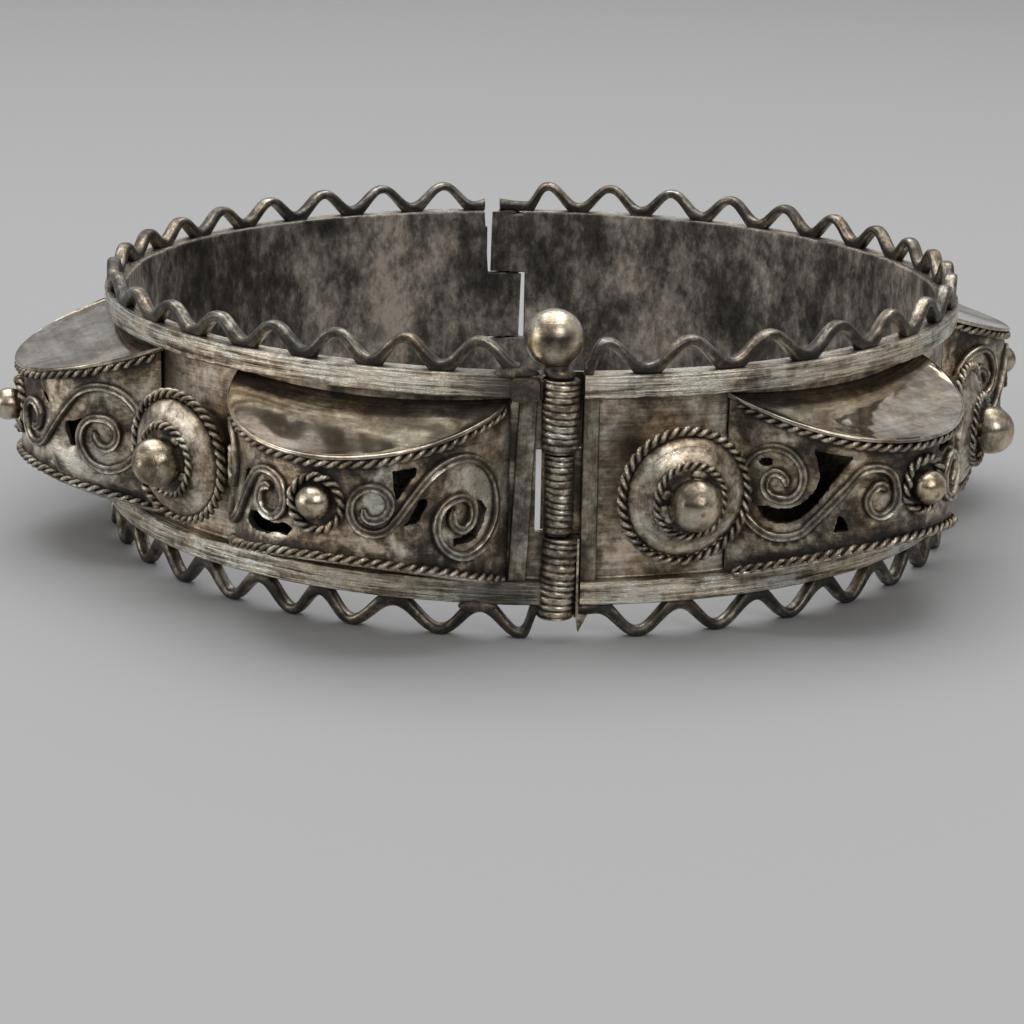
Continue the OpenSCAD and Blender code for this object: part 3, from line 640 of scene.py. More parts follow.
# Wavy wire over a rim, cut square to the rim: height runs from low to top, each a wave of the turn, with
# crests between the angles first and last. drift moves the middle of the half by degrees, sag lowers it,
# and odd is the number of a crest and its own shift. The outermost feet stay a number of degrees clear of
# the knuckles, then run on flat as short tails
def gallery(seed, first, last, crests, drift, sag, odd, clear, tails):
    pitch = (last - first) / (crests - 1)
    firstHalf, lastHalf = min(pitch / 2, first - clear), min(pitch / 2, 180 - clear - last)
    turn = np.linspace(0, 360 * crests, crests * wave["perWave"] + 1)
    lastCrest = 360 * crests - 180
    even = first + pitch * (turn - 180) / 360
    even = np.where(turn < 180, first + firstHalf * (turn - 180) / 180, even)
    even = np.where(turn > lastCrest, last + lastHalf * (turn - lastCrest) / 180, even)
    step = odd[1] * np.maximum(0, 1 - np.abs((turn - 180) / 360 - odd[0]))
    bow = np.sin(np.radians(np.minimum(180, 1.6 * even))) ** 2
    angle = np.radians(-90 - even - step) - np.radians(drift) * bow
    lowest, highest = wave["wire"] / 2, wave["height"] - wave["wire"] / 2
    c = np.cos(np.radians(turn))
    centre = (highest + lowest) / 2 - (highest - lowest) / 2 * c
    spread = wave["perWave"] // 3
    padded = np.concatenate([2 * angle[0] - angle[spread:0:-1], angle, 2 * angle[-1] - angle[-2:-spread - 2:-1]])
    window = np.hanning(2 * spread + 1)
    angle = np.convolve(padded, window / window.sum(), "valid")
    middleR = rR - wave["deep"] / 2
    slope = np.gradient(centre) / np.maximum(np.abs(np.gradient(angle)) * middleR, 1e-4)
    uneven = 1 + waver(np.radians(turn), 0.06, seed, (0.31, 0.77, 1.3))
    half = wave["wire"] / 2 * np.sqrt(1 + slope ** 2) * uneven
    lower = sag * np.sin(np.radians(even)) ** 2 * centre / wave["height"]
    top = np.minimum(centre + half, wave["height"]) - lower
    bottom = centre - half - wave["web"] * (1 + c) / 2 - lower
    foot = np.clip(1 - bottom / 0.25, 0, 1)
    bottom = np.maximum(bottom, -wave["footIn"])
    for end, tail in ((0, tails[0]), (-1, tails[1])):
        if tail:
            f = np.linspace(0.1, 1, wave["tailSteps"])
            run = angle[end] + math.radians(tail) * f * (1 if end == 0 else -1)
            lift = wave["tailLift"] * f ** 2
            extras = (run, 0 * f + 1, centre[end] + lift, top[end] + lift, bottom[end] + 0.4 * lift, 0 * f)
            lines = zip((angle, c, centre, top, bottom, foot), extras)
            angle, c, centre, top, bottom, foot = (lengthened(line, extra, end) for line, extra in lines)
    t = circle(wave["sides"])[None]
    power = 0.72 - 0.30 * foot[:, None] * (np.sin(t) < 0)
    du, dz = squarish(t, power)
    lowEdge = wave["footIn"] * foot[:, None] * (dz < -0.3)
    r = middleR - wave["setBack"] + du * (wave["deep"] / 2 - lowEdge)
    z = (top + bottom)[:, None] / 2 + dz * (top - bottom)[:, None] / 2
    along = np.concatenate([[0], np.cumsum(np.hypot(np.diff(angle) * 31, np.diff(centre)))])
    dark = np.clip(0.9 - np.abs(dz) * 1.2, 0, 1) * 0.6 + 0.3 * (1 + c[:, None]) / 2
    return skin(polar(r, angle[:, None], z), flow=grid(along[:, None], t), tarnish=dark)


topZ, lowZ = midZ + hh, midZ - hh
galleries = {
    "left_gallery_top": (5, dict(first=10, last=169.6, crests=17, drift=-3.5, sag=0.85, odd=(0, 0), clear=2.8,
        tails=(0, 1.6))),
    "left_gallery_bottom": (6, dict(first=4.2, last=174, crests=18, drift=0, sag=0, odd=(2, 1.7), clear=2.2,
        tails=(0, 0))),
    "right_gallery_top": (7, dict(first=5.2, last=174, crests=18, drift=4.5, sag=0.4, odd=(0, 0), clear=2.8,
        tails=(0, 4.2))),
    "right_gallery_bottom": (8, dict(first=10, last=169.6, crests=17, drift=3, sag=0, odd=(0, 0), clear=2.8,
        tails=(2.9, 0))),
}
for name, (seed, row) in galleries.items():
    side = name.split("_")[0]
    signs = [1 if side == "left" else -1, 1, 1 if "top" in name else -1]
    wire = mirrored(gallery(seed, **row), signs, topZ if "top" in name else lowZ)
    makePiece(name + "_wire", inMetal("gallery", wire), side + "_half", name)
print("galleries done")

# ---- boxes
box = dict(reach=38.46, r=9.9, faceIn=0.45, rootZ=6.0, topTip=3.25, lowTip=3.75, faceT=0.5, plateT=0.32,
    grainR=1.17, collarR=1.78, collarWire=0.36, collarPitch=1.5, borderWire=0.34, borderPitch=1.6,
    faceHalf=14.8)
boxC = box["reach"] - box["r"]
faceR = box["r"] - box["faceIn"]
slopeU = boxC + 0.84


# Height of the plates' edge at u: a straight slope from the root to the tip
def edgeZ(u, tip):
    return box["rootZ"] - (box["rootZ"] - tip) * (u - slopeU) / (box["reach"] - slopeU)


# Radius of a face's bend at the distance s along it; both ends run out to the plates' edge
def faceBend(s):
    return faceR + 0.42 * np.clip((np.abs(s) - 11.8) / 2.9, 0, 1) ** 2


# Point of a face at the distance s along it and the height z, lifted outwards
def overFace(s, z, out):
    return polar(faceBend(s) + out, s / box["r"], z) + [boxC, 0, 0]


# Sloping plate: along v from tip to tip, across from the liner over a rolled lip and back underneath;
# short is how far its lip stays behind the face's rope
def plate(tip, seed, short=0.0):
    alpha = np.radians(np.linspace(-86.4, 86.4, 130))[:, None]
    v = box["r"] * np.sin(alpha)
    outU = boxC + (box["r"] - 0.02 - short) * np.cos(alpha)
    inU = np.sqrt((lR + 0.02) ** 2 - v ** 2)
    wide = outU - inU
    lip = np.minimum(0.2, 0.4 * wide)
    q = np.linspace(0, 1, 22)[None]
    topU = inU + q * (wide - lip)
    dent = -0.16 * np.sin(math.pi * q) * np.clip(wide / 4, 0, 1) + waver2(topU * 0.7, v * 0.6, 0.045, seed) * q
    dent = dent + 0.02 * np.exp(-((1 - q) * wide / 0.30) ** 2)
    topZs = edgeZ(topU, tip) - 0.05 + dent * np.clip(wide / 3, 0, 1)
    turn = np.linspace(math.pi / 2, -math.pi / 2, 9)[None, 1:-1]
    thick = box["plateT"] * (1 + waver(v * 0.6, 0.10, seed + 2))
    lipU = outU - lip + lip * np.cos(turn)
    lipZ = edgeZ(outU - lip, tip) - thick / 2 + thick / 2 * np.sin(turn)
    lowU = inU + np.linspace(1, 0, 3)[None] * (wide - lip)
    lowZs = edgeZ(lowU, tip) - thick
    u = np.concatenate([topU, lipU, lowU], 1)
    dark = np.concatenate([0.6 * np.exp(-q * wide / 0.8), np.zeros(lipU.shape), np.ones(lowU.shape)], 1)
    return skin(grid(u, v, np.concatenate([topZs, lipZ, lowZs], 1)), flow=grid(v, u), tarnish=dark)


# Distance to closed outlines in the (s, z) plane, negative inside them
def outlineDistance(points, outlines):
    best = np.full(len(points), 1e9)
    inside = np.zeros(len(points), bool)
    for line in outlines:
        a, b = line, np.roll(line, -1, 0)
        d = b - a
        rel = points[:, None] - a[None]
        t = np.clip((rel * d).sum(-1) / (d * d).sum(-1), 0, 1)
        best = np.minimum(best, np.linalg.norm(rel - t[..., None] * d, axis=-1).min(1))
        x, y = points[:, :1], points[:, 1:]
        rise = np.where(d[:, 1] == 0, 1e-9, d[:, 1])
        crossing = ((a[:, 1] > y) != (b[:, 1] > y)) & (x < d[:, 0] * (y - a[:, 1]) / rise + a[:, 0])
        inside ^= crossing.sum(1) % 2 == 1
    return np.where(inside, -best, best)


# Cut edge of a hole: the drawn corners rounded a little, with the small nicks of a piercing saw
def sawnOutline(corners, seed):
    line = roundedOutline(corners, 0.16, 0.16)
    out = np.roll(line, -1, 0) - np.roll(line, 1, 0)
    out = np.stack([out[:, 1], -out[:, 0]], -1) / np.linalg.norm(out, axis=1, keepdims=True)
    return line + out * np.random.default_rng(seed).uniform(-0.05, 0.05, len(line))[:, None]


# Pierced face sheet: a grid over (s, z) with its points near a hole drawn to the hole's edge, the
# squares inside holes left out, and a wall between front and back along every edge. It is clean
# beside the wires and darker away from them, at the borders and at the wires' feet
def faceSheet(holes, wires, shade, cell, seed):
    nu, nv = int(2 * box["faceHalf"] / cell), int(9.6 / cell)
    s = np.linspace(-box["faceHalf"], box["faceHalf"], nu)[:, None]
    u = boxC + faceR * np.cos(s / box["r"])
    f = np.linspace(0, 1, nv)[None]
    z = (edgeZ(u, box["topTip"]) - 0.25) * f - (edgeZ(u, box["lowTip"]) - 0.25) * (1 - f)
    flat = grid(s, z).reshape(-1, 2)
    dist = outlineDistance(flat, holes)
    for k in range(2):
        near = np.abs(dist) < 0.62 * cell
        e = 0.01
        toEdge = [(outlineDistance(flat[near] + shift, holes) - dist[near]) / e for shift in ([e, 0], [0, e])]
        flat[near] -= np.stack(toEdge, -1) * dist[near][:, None]
        dist = outlineDistance(flat, holes)
    i, j = np.arange(nu - 1)[:, None], np.arange(nv - 1)[None]
    quads = grid(i * nv + j, (i + 1) * nv + j, (i + 1) * nv + j + 1, i * nv + j + 1).reshape(-1, 4)
    quads = quads[dist[quads].mean(1) > 0.02]
    used = np.unique(quads)
    renumber = np.full(len(flat), -1)
    renumber[used] = np.arange(len(used))
    quads, flat, dist = renumber[quads], flat[used], dist[used]
    turn, bend = flat[:, 0] / box["r"], faceBend(flat[:, 0])
    away = np.concatenate([np.linalg.norm(part[:, None] - wires[None], axis=-1).min(1)
        for part in np.array_split(flat, 24)])
    rub = (waver2(flat[:, 0] * 0.8, flat[:, 1] * 1.4, 0.06, seed)
        + waver2(flat[:, 0] * 3, flat[:, 1] * 4, 0.025, seed))
    front = bend + rub - 0.10 * np.exp(-np.maximum(dist, 0) / 0.16)
    verts = np.concatenate([polar(r, turn, flat[:, 1]) for r in (front, bend - box["faceT"])]) + [boxC, 0, 0]
    u = boxC + faceR * np.cos(turn)
    rimAway = np.minimum(edgeZ(u, box["topTip"]) - flat[:, 1], edgeZ(u, box["lowTip"]) + flat[:, 1])
    dark = 0.8 * np.exp(-np.maximum(away - 0.2, 0) / 0.12) + shade * np.clip((away - 0.55) / 0.35, 0, 1)
    dark = dark + 0.5 * np.exp(-np.maximum(rimAway - 0.9, 0) / 0.35) + 0.5 * np.exp(-(flat ** 2).sum(1) / 6.0)
    n = len(flat)
    edges = np.concatenate([quads[:, [k, (k + 1) % 4]] for k in range(4)])
    keys = edges[:, 0] * n + edges[:, 1]
    openEdges = edges[~np.isin(keys, edges[:, 1] * n + edges[:, 0])]
    walls = np.stack([openEdges[:, 1], openEdges[:, 0], openEdges[:, 0] + n, openEdges[:, 1] + n], -1)
    faces = [quads, quads[:, ::-1] + n, walls]
    if signedVolume(verts, faces) < 0:
        faces = [f[:, ::-1] for f in faces]
    return dict(verts=verts, faces=faces, flow=np.concatenate([flat, flat]),
        tarnish=np.concatenate([dark, np.full(n, 0.7)]))


# Courses of the scroll wires along the faces, each bent by hand: centres of the large and the small
# spiral, direction in which the stem leaves the large one, radius of the large spiral over its angle in
# degrees, and of the small one over the angle it has run back from -38 degrees
courses = {
    "even": dict(large=(10.5, -0.6), small=(3.85, 0.0), lead=224,
        radii=[(149, .75), (197, .82), (273, .95), (363, .95), (466, 1.2), (550, 2.0), (632, 2.75),
            (727, 3.2), (812, 3.65), (850, 3.75)],
        curl=[(0, 1.95), (40, 1.75), (128, 1.38), (212, 1.42), (273, 1.2), (360, .75), (430, .55)]),
    "lowered": dict(large=(10.25, -0.95), small=(3.85, -0.1), lead=223,
        radii=[(149, .87), (197, .84), (273, 1.0), (363, .87), (476, 1.27), (550, 2.08), (637, 2.87),
            (727, 3.3), (809, 3.85), (851, 3.8)],
        curl=[(0, 1.74), (52, 1.65), (132, 1.42), (230, 1.45), (304, 1.31), (372, .85), (450, .7),
            (500, .5)]),
    "raised": dict(large=(11.1, -0.25), small=(3.85, 0.15), lead=228,
        radii=[(180, .65), (283, .87), (357, .9), (462, .92), (542, 1.7), (618, 2.5), (727, 2.8),
            (810, 3.6), (842, 3.6)],
        curl=[(0, 2.3), (30, 1.84), (120, 1.1), (235, 1.68), (283, 1.28), (335, .65), (420, .48),
            (480, .42)]),
    "middle": dict(large=(10.6, -0.4), small=(3.75, -0.2), lead=224,
        radii=[(173, .8), (280, 1.1), (366, 1.0), (466, 1.1), (556, 2.1), (628, 2.6), (728, 2.85),
            (815, 3.4), (857, 3.5)],
        curl=[(0, 1.95), (40, 1.75), (128, 1.38), (212, 1.3), (273, 1.1), (360, .75), (430, .55)]),
}
curlStart, curlLead = -38, 232


# Spiral whose radius runs through a table over the angle, smoothed, and is drawn at other angles
def spiral(centre, table, angle, drawn):
    radius = np.interp(angle, *zip(*table))
    smooth = np.convolve(np.pad(radius, 9, mode="edge"), np.hanning(19) / np.hanning(19).sum(), "valid")
    a = np.radians(drawn)
    return np.stack([centre[0] + smooth * np.cos(a), centre[1] + smooth * np.sin(a)], -1)


# The two spirals of a course and the stem between them, a cubic with the given leads at its ends
def scrollLine(course):
    angle = np.linspace(course["radii"][0][0], course["radii"][-1][0], 190)
    large = spiral(course["large"], course["radii"], angle, angle)
    run = np.linspace(0, course["curl"][-1][0], 110)
    small = spiral(course["small"], course["curl"], run, curlStart - run)
    f = np.linspace(0, 1, 32)[1:-1, None]
    a, b = large[-1], small[0]
    span = 0.72 * np.linalg.norm(a - b)
    leadA, leadB = (span * np.array([math.cos(math.radians(d)), math.sin(math.radians(d))])
        for d in (course["lead"], curlLead))
    stem = ((2 * f ** 3 - 3 * f ** 2 + 1) * a + (f ** 3 - 2 * f ** 2 + f) * leadA
        + (3 * f ** 2 - 2 * f ** 3) * b + (f ** 3 - f ** 2) * leadB)
    return np.concatenate([large, stem, small])


# Section of a scroll wire, in shares of its width and height
wireSection = np.array([[-0.5, -0.3], [-0.5, 0.40], [-0.46, 0.82], [-0.36, 1.0], [-0.22, 0.92], [0.0, 0.80],
    [0.22, 0.92], [0.36, 1.0], [0.46, 0.82], [0.5, 0.40], [0.5, -0.3]])
scrollSize = dict(wide=0.62, high=0.42)


# Wire laid on edge: two rounded lips with a shallow groove between them, narrowing at both ends
def scrollWire(line, seed):
    path = overFace(line[:, 0], line[:, 1], 0.0)
    out = overFace(line[:, 0], line[:, 1], 1.0) - path
    x, y = wireSection.T
    n = np.arange(len(line))
    ends = np.clip(np.minimum(n, n[::-1]) / 8, 0.35, 1) ** 0.5
    wide = scrollSize["wide"] * ends * (1 + waver(n / 20, 0.10, seed))
    high = scrollSize["high"] * (1 + waver(n / 25, 0.16, seed + 1)) * (0.6 + 0.4 * ends)
    dark = np.clip(1.0 - y, 0, 1) * 0.9 + 0.55 * (np.abs(x) < 0.05)
    return carry(path, out, x * wide[:, None], y * high[:, None], flow=grid(runAlong(path)[:, None], x),
        tarnish=dark)


# Rope along a plate's edge, low millimetres below it
def border(tip, seed, hand, low):
    alpha = np.linspace(-84, 84, 310) * math.pi / 180
    path = polar(faceR + 0.14, alpha, 0.0) + [boxC, 0, 0]
    path[:, 2] = edgeZ(path[:, 0], tip) - low - waver(alpha * 6, 0.05, seed)
    return rope(path, polar(1.0, alpha, 0.0), box["borderWire"], box["borderPitch"], seed, hand=hand)


# Ring of rope round the grain, laid over the bent face
def collar(seed):
    a = circle(150)
    r = box["collarR"] * (1 + waver(np.sin(a) * 2, 0.03, seed))
    v, z = r * np.cos(a), r * np.sin(a)
    u = boxC + np.sqrt((faceR + 0.18) ** 2 - v ** 2) + 0.08 * np.sin(5 * a + seed)
    return rope(np.stack([u, v, z], -1), [1.0, 0, 0], box["collarWire"], box["collarPitch"], seed, closed=True)


# Sawn holes on the (s, z) plane of a face's half, and which of them each kind of half has
topHole = [[5.15, 2.35], [6.9, 2.55], [6.9, 2.1], [6.0, 0.95], [5.5, 0.3], [5.3, 1.3]]
stemHole = [[7.15, 0.45], [7.75, 0.3], [7.55, -0.3], [7.0, -1.15], [6.0, -1.3], [6.6, -0.6]]
spiralHole = [[11.45, -0.25], [12.2, -0.25], [12.8, -0.9], [12.35, -1.9], [11.4, -2.7], [9.7, -2.85],
    [9.7, -2.35], [10.5, -2.3], [11.25, -1.75], [11.55, -1.0]]
lowHole = [[1.95, 1.95], [2.7, 1.65], [3.6, 1.9], [5.4, 1.5], [6.5, 1.55], [6.9, 2.35], [6.2, 2.75], [4.4, 2.75],
    [3.5, 2.45], [2.4, 2.5]]
wideHole = [[8.7, -2.8], [7.2, -2.5], [5.85, -2.3], [6.35, -1.65], [7.5, -0.25], [8.55, 1.1], [9.6, 1.98],
    [10.4, 2.2], [11.2, 2.28], [12.2, 2.0], [12.7, 1.3], [11.9, 1.15], [11.2, 1.3], [10.3, 1.22],
    [9.3, 0.8], [8.5, 0.0], [8.2, -1.0], [8.45, -2.0]]
footHole = [[7.15, 2.7], [6.05, 2.6], [6.3, 1.9], [6.75, 1.5]]
crownHole = [[11.6, -1.5], [12.3, -1.3], [12.7, -1.6], [12.2, -2.0], [11.5, -1.95]]
tornHole = [[7.1, 0.1], [8.0, 0.25], [8.75, 0.5], [8.8, -0.05], [8.4, -0.6], [8.25, -1.5], [7.6, -1.65],
    [7.3, -0.9], [7.0, -0.5]]
curlHole = [[4.3, 2.1], [5.2, 1.6], [5.4, 0.9], [5.0, 1.3]]
sides = {"full": [topHole, stemHole, spiralHole], "low": [lowHole, stemHole],
    "wide": [wideHole, footHole, crownHole], "torn": [tornHole, curlHole]}


# One box with its scrolls. plusHalf and minusHalf name the holes and the course of the half with s above
# and below zero; shade darkens the sheet away from the wires, grain places the grain, cell is the sheet's
# mesh width, and drop lowers the under side's end that lies toward the clasp
def makeBox(number, side, angle, plusHalf, minusHalf, shade, grain, seed, cell, drop=0.0):
    word = "left" if side < 0 else "right"
    name, scrolls = (word + "_%s_%d" % (kind, number) for kind in ("box", "scrolls"))
    lines = [scrollLine(courses[half[1]]) for half in (plusHalf, minusHalf)]
    holes = [sawnOutline(h, seed + k) * sign for half, sign in ((plusHalf, 1), (minusHalf, -1))
        for k, h in enumerate(sides[half[0]])]
    wires = np.concatenate([lines[0][::3], -lines[1][::3]])
    parts = inMetal("plate", plate(box["topTip"], seed),
        mirrored(plate(box["lowTip"], seed + 1, 0.3), upsideDown))
    parts += inMetal("face", faceSheet(holes, wires, shade, cell, seed))
    parts += inMetal("wire", border(box["topTip"], seed, 1, 0.60),
        mirrored(border(box["lowTip"], seed + 2, -1, 0.36), upsideDown), collar(seed))
    for p in parts[1:]:
        v = p["verts"]
        toClasp = np.clip(-side * v[:, 1] / box["r"], 0, 1)
        v[:, 2] += drop * toClasp ** 2 * np.clip(v[:, 2] / 5.5, -1, 0)
    u, v, z = grain
    parts += inMetal("ball", ball([boxC + faceR + u, v, z], box["grainR"], seed, 40))
    makePiece(name + "_sheets", [atAngle(p, side, angle) for p in parts], word + "_half", name)
    strips = inMetal("scroll", scrollWire(lines[0], seed + 5),
        mirrored(scrollWire(lines[1], seed + 9), halfTurn))
    makePiece(scrolls + "_wires", [atAngle(p, side, angle) for p in strips], word + "_half", scrolls)


makeBox(1, -1, 24.6, ("full", "lowered"), ("low", "even"), 0.10, (0.45, 0.0, 0.22), 101, 0.145, 0.6)
makeBox(2, -1, 78.5, ("torn", "middle"), ("full", "even"), 0.10, (0.95, 0.0, 0.0), 111, 0.175)
makeBox(3, -1, 134, ("low", "even"), ("wide", "even"), 0.20, (0.85, 0.0, 0.0), 121, 0.22)
makeBox(1, 1, 40.2, ("low", "even"), ("wide", "raised"), 0.38, (0.60, -0.15, -0.1), 131, 0.145, 0.7)
makeBox(2, 1, 103, ("full", "even"), ("torn", "middle"), 0.30, (0.90, 0.0, 0.0), 141, 0.175)
makeBox(3, 1, 155.4, ("wide", "even"), ("full", "even"), 0.20, (0.85, 0.0, 0.0), 151, 0.22)
print("boxes done")

# ---- bosses
boss = dict(ringR=4.42, ringWire=0.37, ringPitch=1.4, ringH=2.5, innerR=2.4, innerWire=0.31, innerPitch=1.2,
    innerH=3.65, ballH=4.45, ballR=1.72, footH=-0.25, topH=3.9, axisR=0.02, steps=84, lumps=5)
bossOutline = [[2.9, boss["footH"]], [2.92, 0.3], [3.3, 1.0], [3.85, 1.9], [4.12, 2.45], [4.05, 2.70],
    [3.72, 2.92], [3.45, 3.0], [3.05, 3.18], [2.66, 3.46], [2.40, 3.68], [2.0, 3.66], [1.7, 3.62],
    [1.3, 3.8]]


# Rope ring that is a little oval and runs up and down three times round
def bossRing(radius, height, wire, pitch, steps, seed):
    a = circle(steps)
    r = radius * (1 + 0.012 * np.sin(2 * a + seed))
    up = height + lR + 0.06 * np.sin(3 * a + seed)
    return rope(np.stack([up, r * np.cos(a), r * np.sin(a)], -1), [1.0, 0, 0], wire, pitch, seed, closed=True)


# Boss of drum, cone, two twisted rings, a ball and flat lumps of solder round the ball's foot; tilt turns
# all but its own foot about the (along, up) axes, shift moves it over the liner
def makeBoss(number, side, angle, tilt, shift, seed):
    b = boss
    word = "left" if side < 0 else "right"
    name = word + "_boss_%d" % number
    profile = np.concatenate([[[b["axisR"], b["footH"]]], smoothLine(bossOutline, 4), [[b["axisR"], b["topH"]]]])
    r, h = profile.T
    dark = np.clip((1.8 - h) / 1.8, 0, 1) * 0.7 + 0.6 * np.exp(-((r - 4.1) / 0.2) ** 2)
    dark = dark + 0.6 * np.exp(-((r - b["innerR"]) / 0.35) ** 2) + 0.6 * (r < 2.2)
    dents = waver2(circle(b["steps"])[None] * 2, h[:, None] * 1.5, 0.11, seed) * ((r > 1) & (h > 0.3))[:, None]
    shell = turned(profile, b["steps"], dark, dents)
    shell["verts"][:, 0] += lR
    parts = inMetal("boss", shell)
    parts += inMetal("wire", bossRing(b["ringR"], b["ringH"], b["ringWire"], b["ringPitch"], 330, seed),
        bossRing(b["innerR"], b["innerH"], b["innerWire"], b["innerPitch"], 210, seed + 1))
    parts += inMetal("ball", ball([b["ballH"] + lR, 0, 0], b["ballR"], seed, 60, 0.05))
    g = np.random.default_rng(seed + 40)
    footU, footR = b["innerH"] + lR + 0.02, b["ballR"] + 0.12
    for k in range(b["lumps"]):
        a, wide = g.uniform(0, tau), g.uniform(0.35, 0.62)
        foot = [footU, footR * math.cos(a), footR * math.sin(a)]
        parts += inMetal("boss", lump(foot, [0.22, wide, 0.8 * wide], seed + k))
    for p in parts:
        v = p["verts"]
        h = v[:, 0] - lR
        share = np.clip(h / 2.0, 0, 1)[:, None]
        v += share * np.stack([-tilt[0] * v[:, 1] - tilt[1] * v[:, 2], tilt[0] * h, tilt[1] * h], -1)
        v += [0, *shift]
    makePiece(name + "_raised", [atAngle(p, side, angle) for p in parts], word + "_half", name)


for number, side, angle, tilt, shift in [
        (1, -1, 50, (0.07, -0.03), (0, -0.25)), (2, -1, 106, (0, 0.02), (0, 0)), (3, -1, 162, (-0.02, 0), (0, 0)),
        (1, 1, 13.7, (0.02, -0.05), (0.3, 0.05)), (2, 1, 66.5, (0, -0.02), (0, 0)),
        (3, 1, 129.2, (0.02, 0), (0, 0))]:
    makeBoss(number, side, angle, tilt, shift, 200 + number + 10 * side)
print("bosses done")


# ---- pins
# Profile (radius, height) turned about an upright axis at x, y
def upright(profile, x, y, steps, tarnish=0.0):
    part = turned(profile, steps, tarnish)
    up, across, away = part["verts"].T
    return dict(part, verts=np.stack([across + x, away + y, up], -1))


# Shank, collar and ball head of the clasp pin, as one turned outline; the head stands aside of the shank
pin = dict(aside=0.5, r=0.5, tipR=0.44, headR=1.93, low=1.8, collarZ=17.79)
collarSteps = [[0.9, 0.02], [1.0, 0.22], [0.96, 0.5], [0.8, 0.72], [0.84, 0.92]]
headZ = pin["collarZ"] + 0.9 + pin["headR"] - 0.22
arc = np.radians(np.linspace(-62, 89, 40))
pinOutline = np.concatenate([
    [[0.01, pin["low"]], [pin["tipR"], pin["low"] + 0.05], [pin["r"], pin["low"] + 0.2], [pin["r"], pin["collarZ"]]],
    smoothLine(collarSteps, 5) + [0, pin["collarZ"]],
    np.stack([pin["headR"] * np.cos(arc), headZ + pin["headR"] * np.sin(arc)], -1)])
pinDark = np.where(pinOutline[:, 1] < headZ - 1.6, 0.45, 0.0)
claspPin = upright(pinOutline, 0.0, -aR, 72, pinDark)
headShare = np.clip((claspPin["verts"][:, 2] - pin["collarZ"]) / 1.2, 0, 1)
claspPin["verts"][:, 0] -= pin["aside"] * headShare
makePiece("clasp_pin_polished", inMetal("head", claspPin), "clasp_pin_body", "clasp_pin")

rivetHead = [(0.01, 0.0), (0.55, 0.02), (0.82, 0.14), (0.85, 0.3), (0.5, 0.33)]
past = 0.35     # how far the rivet reaches past the knuckles
low, high = midZ + knuckleFoot - past, midZ + knuckleTop + past
rivet = [[r, low + h] for r, h in rivetHead] + [[r, high - h] for r, h in rivetHead[::-1]]
makePiece("hinge_pin_riveted", inMetal("coil", upright(rivet, 0.0, aR, 40)), "left_half", "hinge_pin")
print("pins done")

scene.view_settings.view_transform = "Standard"

# ---- floor, light, camera
# The floor's colour darkens from near to far: painted shade for the light falling off with distance
floorLook = dict(near=(0.345, 0.345, 0.346), far=(0.250, 0.251, 0.254), fade=(0.12, 0.9), half=1.6, roughness=0.75)
h = floorLook["half"]
floorMesh = bpy.data.meshes.new("pale_floor")
floorMesh.from_pydata([(-h, -h, 0), (h, -h, 0), (h, h, 0), (-h, h, 0)], [], [(0, 1, 2, 3)])
floor = bpy.data.objects.new("pale_floor", floorMesh)
scene.collection.objects.link(floor)
paper, bsdf = newMaterial("paper")
back = addNode("SeparateXYZ", {0: addNode("TexCoord").outputs["Object"]}).outputs[1]
# painted shade: the floor darker towards the back
paintedFalloff = ramp(back, *floorLook["fade"])
feed(bsdf.inputs["Base Color"], blendColour(paintedFalloff, floorLook["near"], floorLook["far"]))
feed(bsdf.inputs["Roughness"], floorLook["roughness"])
floorMesh.materials.append(paper)

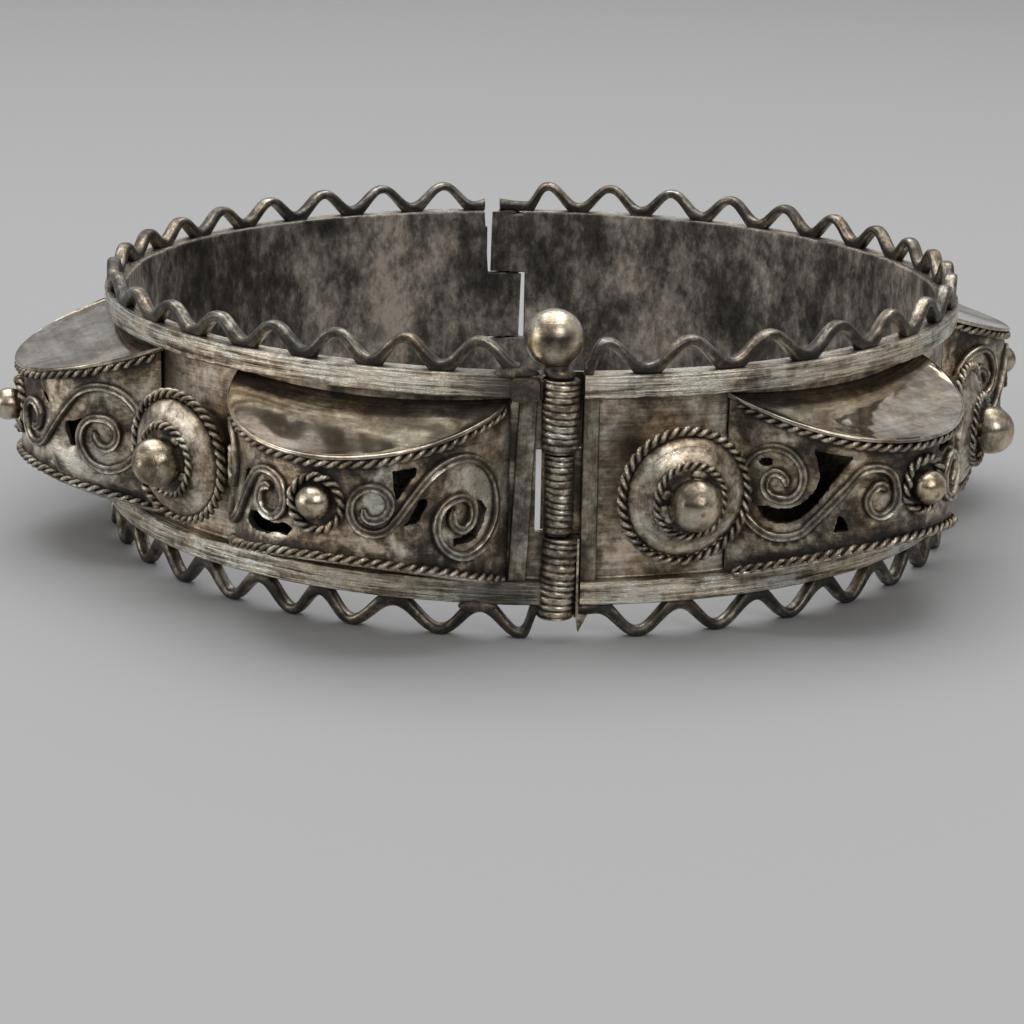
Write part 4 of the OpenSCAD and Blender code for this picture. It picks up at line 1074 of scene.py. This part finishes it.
# A bright tent overhead that turns dark low down towards the viewer, as the silver mirrors it
tent = dict(low=(0.098, 0.096, 0.092), side=(0.53, 0.53, 0.535), top=(0.86, 0.86, 0.87), frontSpan=(-0.75, 0.25),
    topSpan=(0.18, 0.70), strength=0.72)
world = bpy.data.worlds.new("studio")
scene.world = world
world.use_nodes = True
shader["tree"] = world.node_tree
toward = addNode("SeparateXYZ", {0: addNode("TexCoord").outputs["Generated"]})
front = ramp(toward.outputs[1], *tent["frontSpan"], 1.0, 0.0)
ring = blendColour(front, tent["side"], tent["low"])
glow = blendColour(ramp(toward.outputs[2], *tent["topSpan"]), ring, tent["top"])
background = world.node_tree.nodes["Background"].inputs
feed(background["Color"], glow)
feed(background["Strength"], tent["strength"])

# Square lamps that look at the bangle's foot
lamps = [dict(name="overhead", at=(0.0, 0.14, 0.55), size=0.62, power=2.7),
    dict(name="window", at=(0.20, -0.53, 0.36), size=0.30, power=1.0),
    dict(name="fill", at=(-0.50, -0.10, 0.14), size=0.34, power=0.7)]
for lamp in lamps:
    light = bpy.data.lights.new(lamp["name"], "AREA")
    light.size = lamp["size"]
    light.energy = lamp["power"]
    lampObject = bpy.data.objects.new(lamp["name"], light)
    x, y, z = lamp["at"]
    lampObject.location = lamp["at"]
    lampObject.rotation_euler = (math.atan2(math.hypot(x, y), z), 0, math.atan2(x, -y))
    scene.collection.objects.link(lampObject)

# Camera: place, viewing direction and roll, as found from the bangle's own circles
view = dict(turn=-3.5, elevation=15.55, roll=1.10, distance=229.4, sideways=-1.125, up=0.008, lens=105.47)
e, roll, turn = (math.radians(view[k]) for k in ("elevation", "roll", "turn"))
forward = np.array([0, math.cos(e), -math.sin(e)])
right, up = np.array([1.0, 0, 0]), np.array([0, math.sin(e), math.cos(e)])
right, up = right * math.cos(roll) + up * math.sin(roll), up * math.cos(roll) - right * math.sin(roll)
place = np.array([view["sideways"], 0, view["up"]]) - view["distance"] * forward
spin = np.array([[math.cos(turn), -math.sin(turn), 0], [math.sin(turn), math.cos(turn), 0], [0, 0, 1]])
columns = [*(spin @ v for v in (right, up, -forward)), spin @ place * toMetres]
camera = bpy.data.objects.new("camera", bpy.data.cameras.new("camera"))
camera.matrix_world = Matrix([*np.stack(columns, -1), [0, 0, 0, 1]])
camera.data.lens = view["lens"]
camera.data.sensor_width = 36
camera.data.clip_start = 0.005
scene.collection.objects.link(camera)
scene.camera = camera
print("stage done")
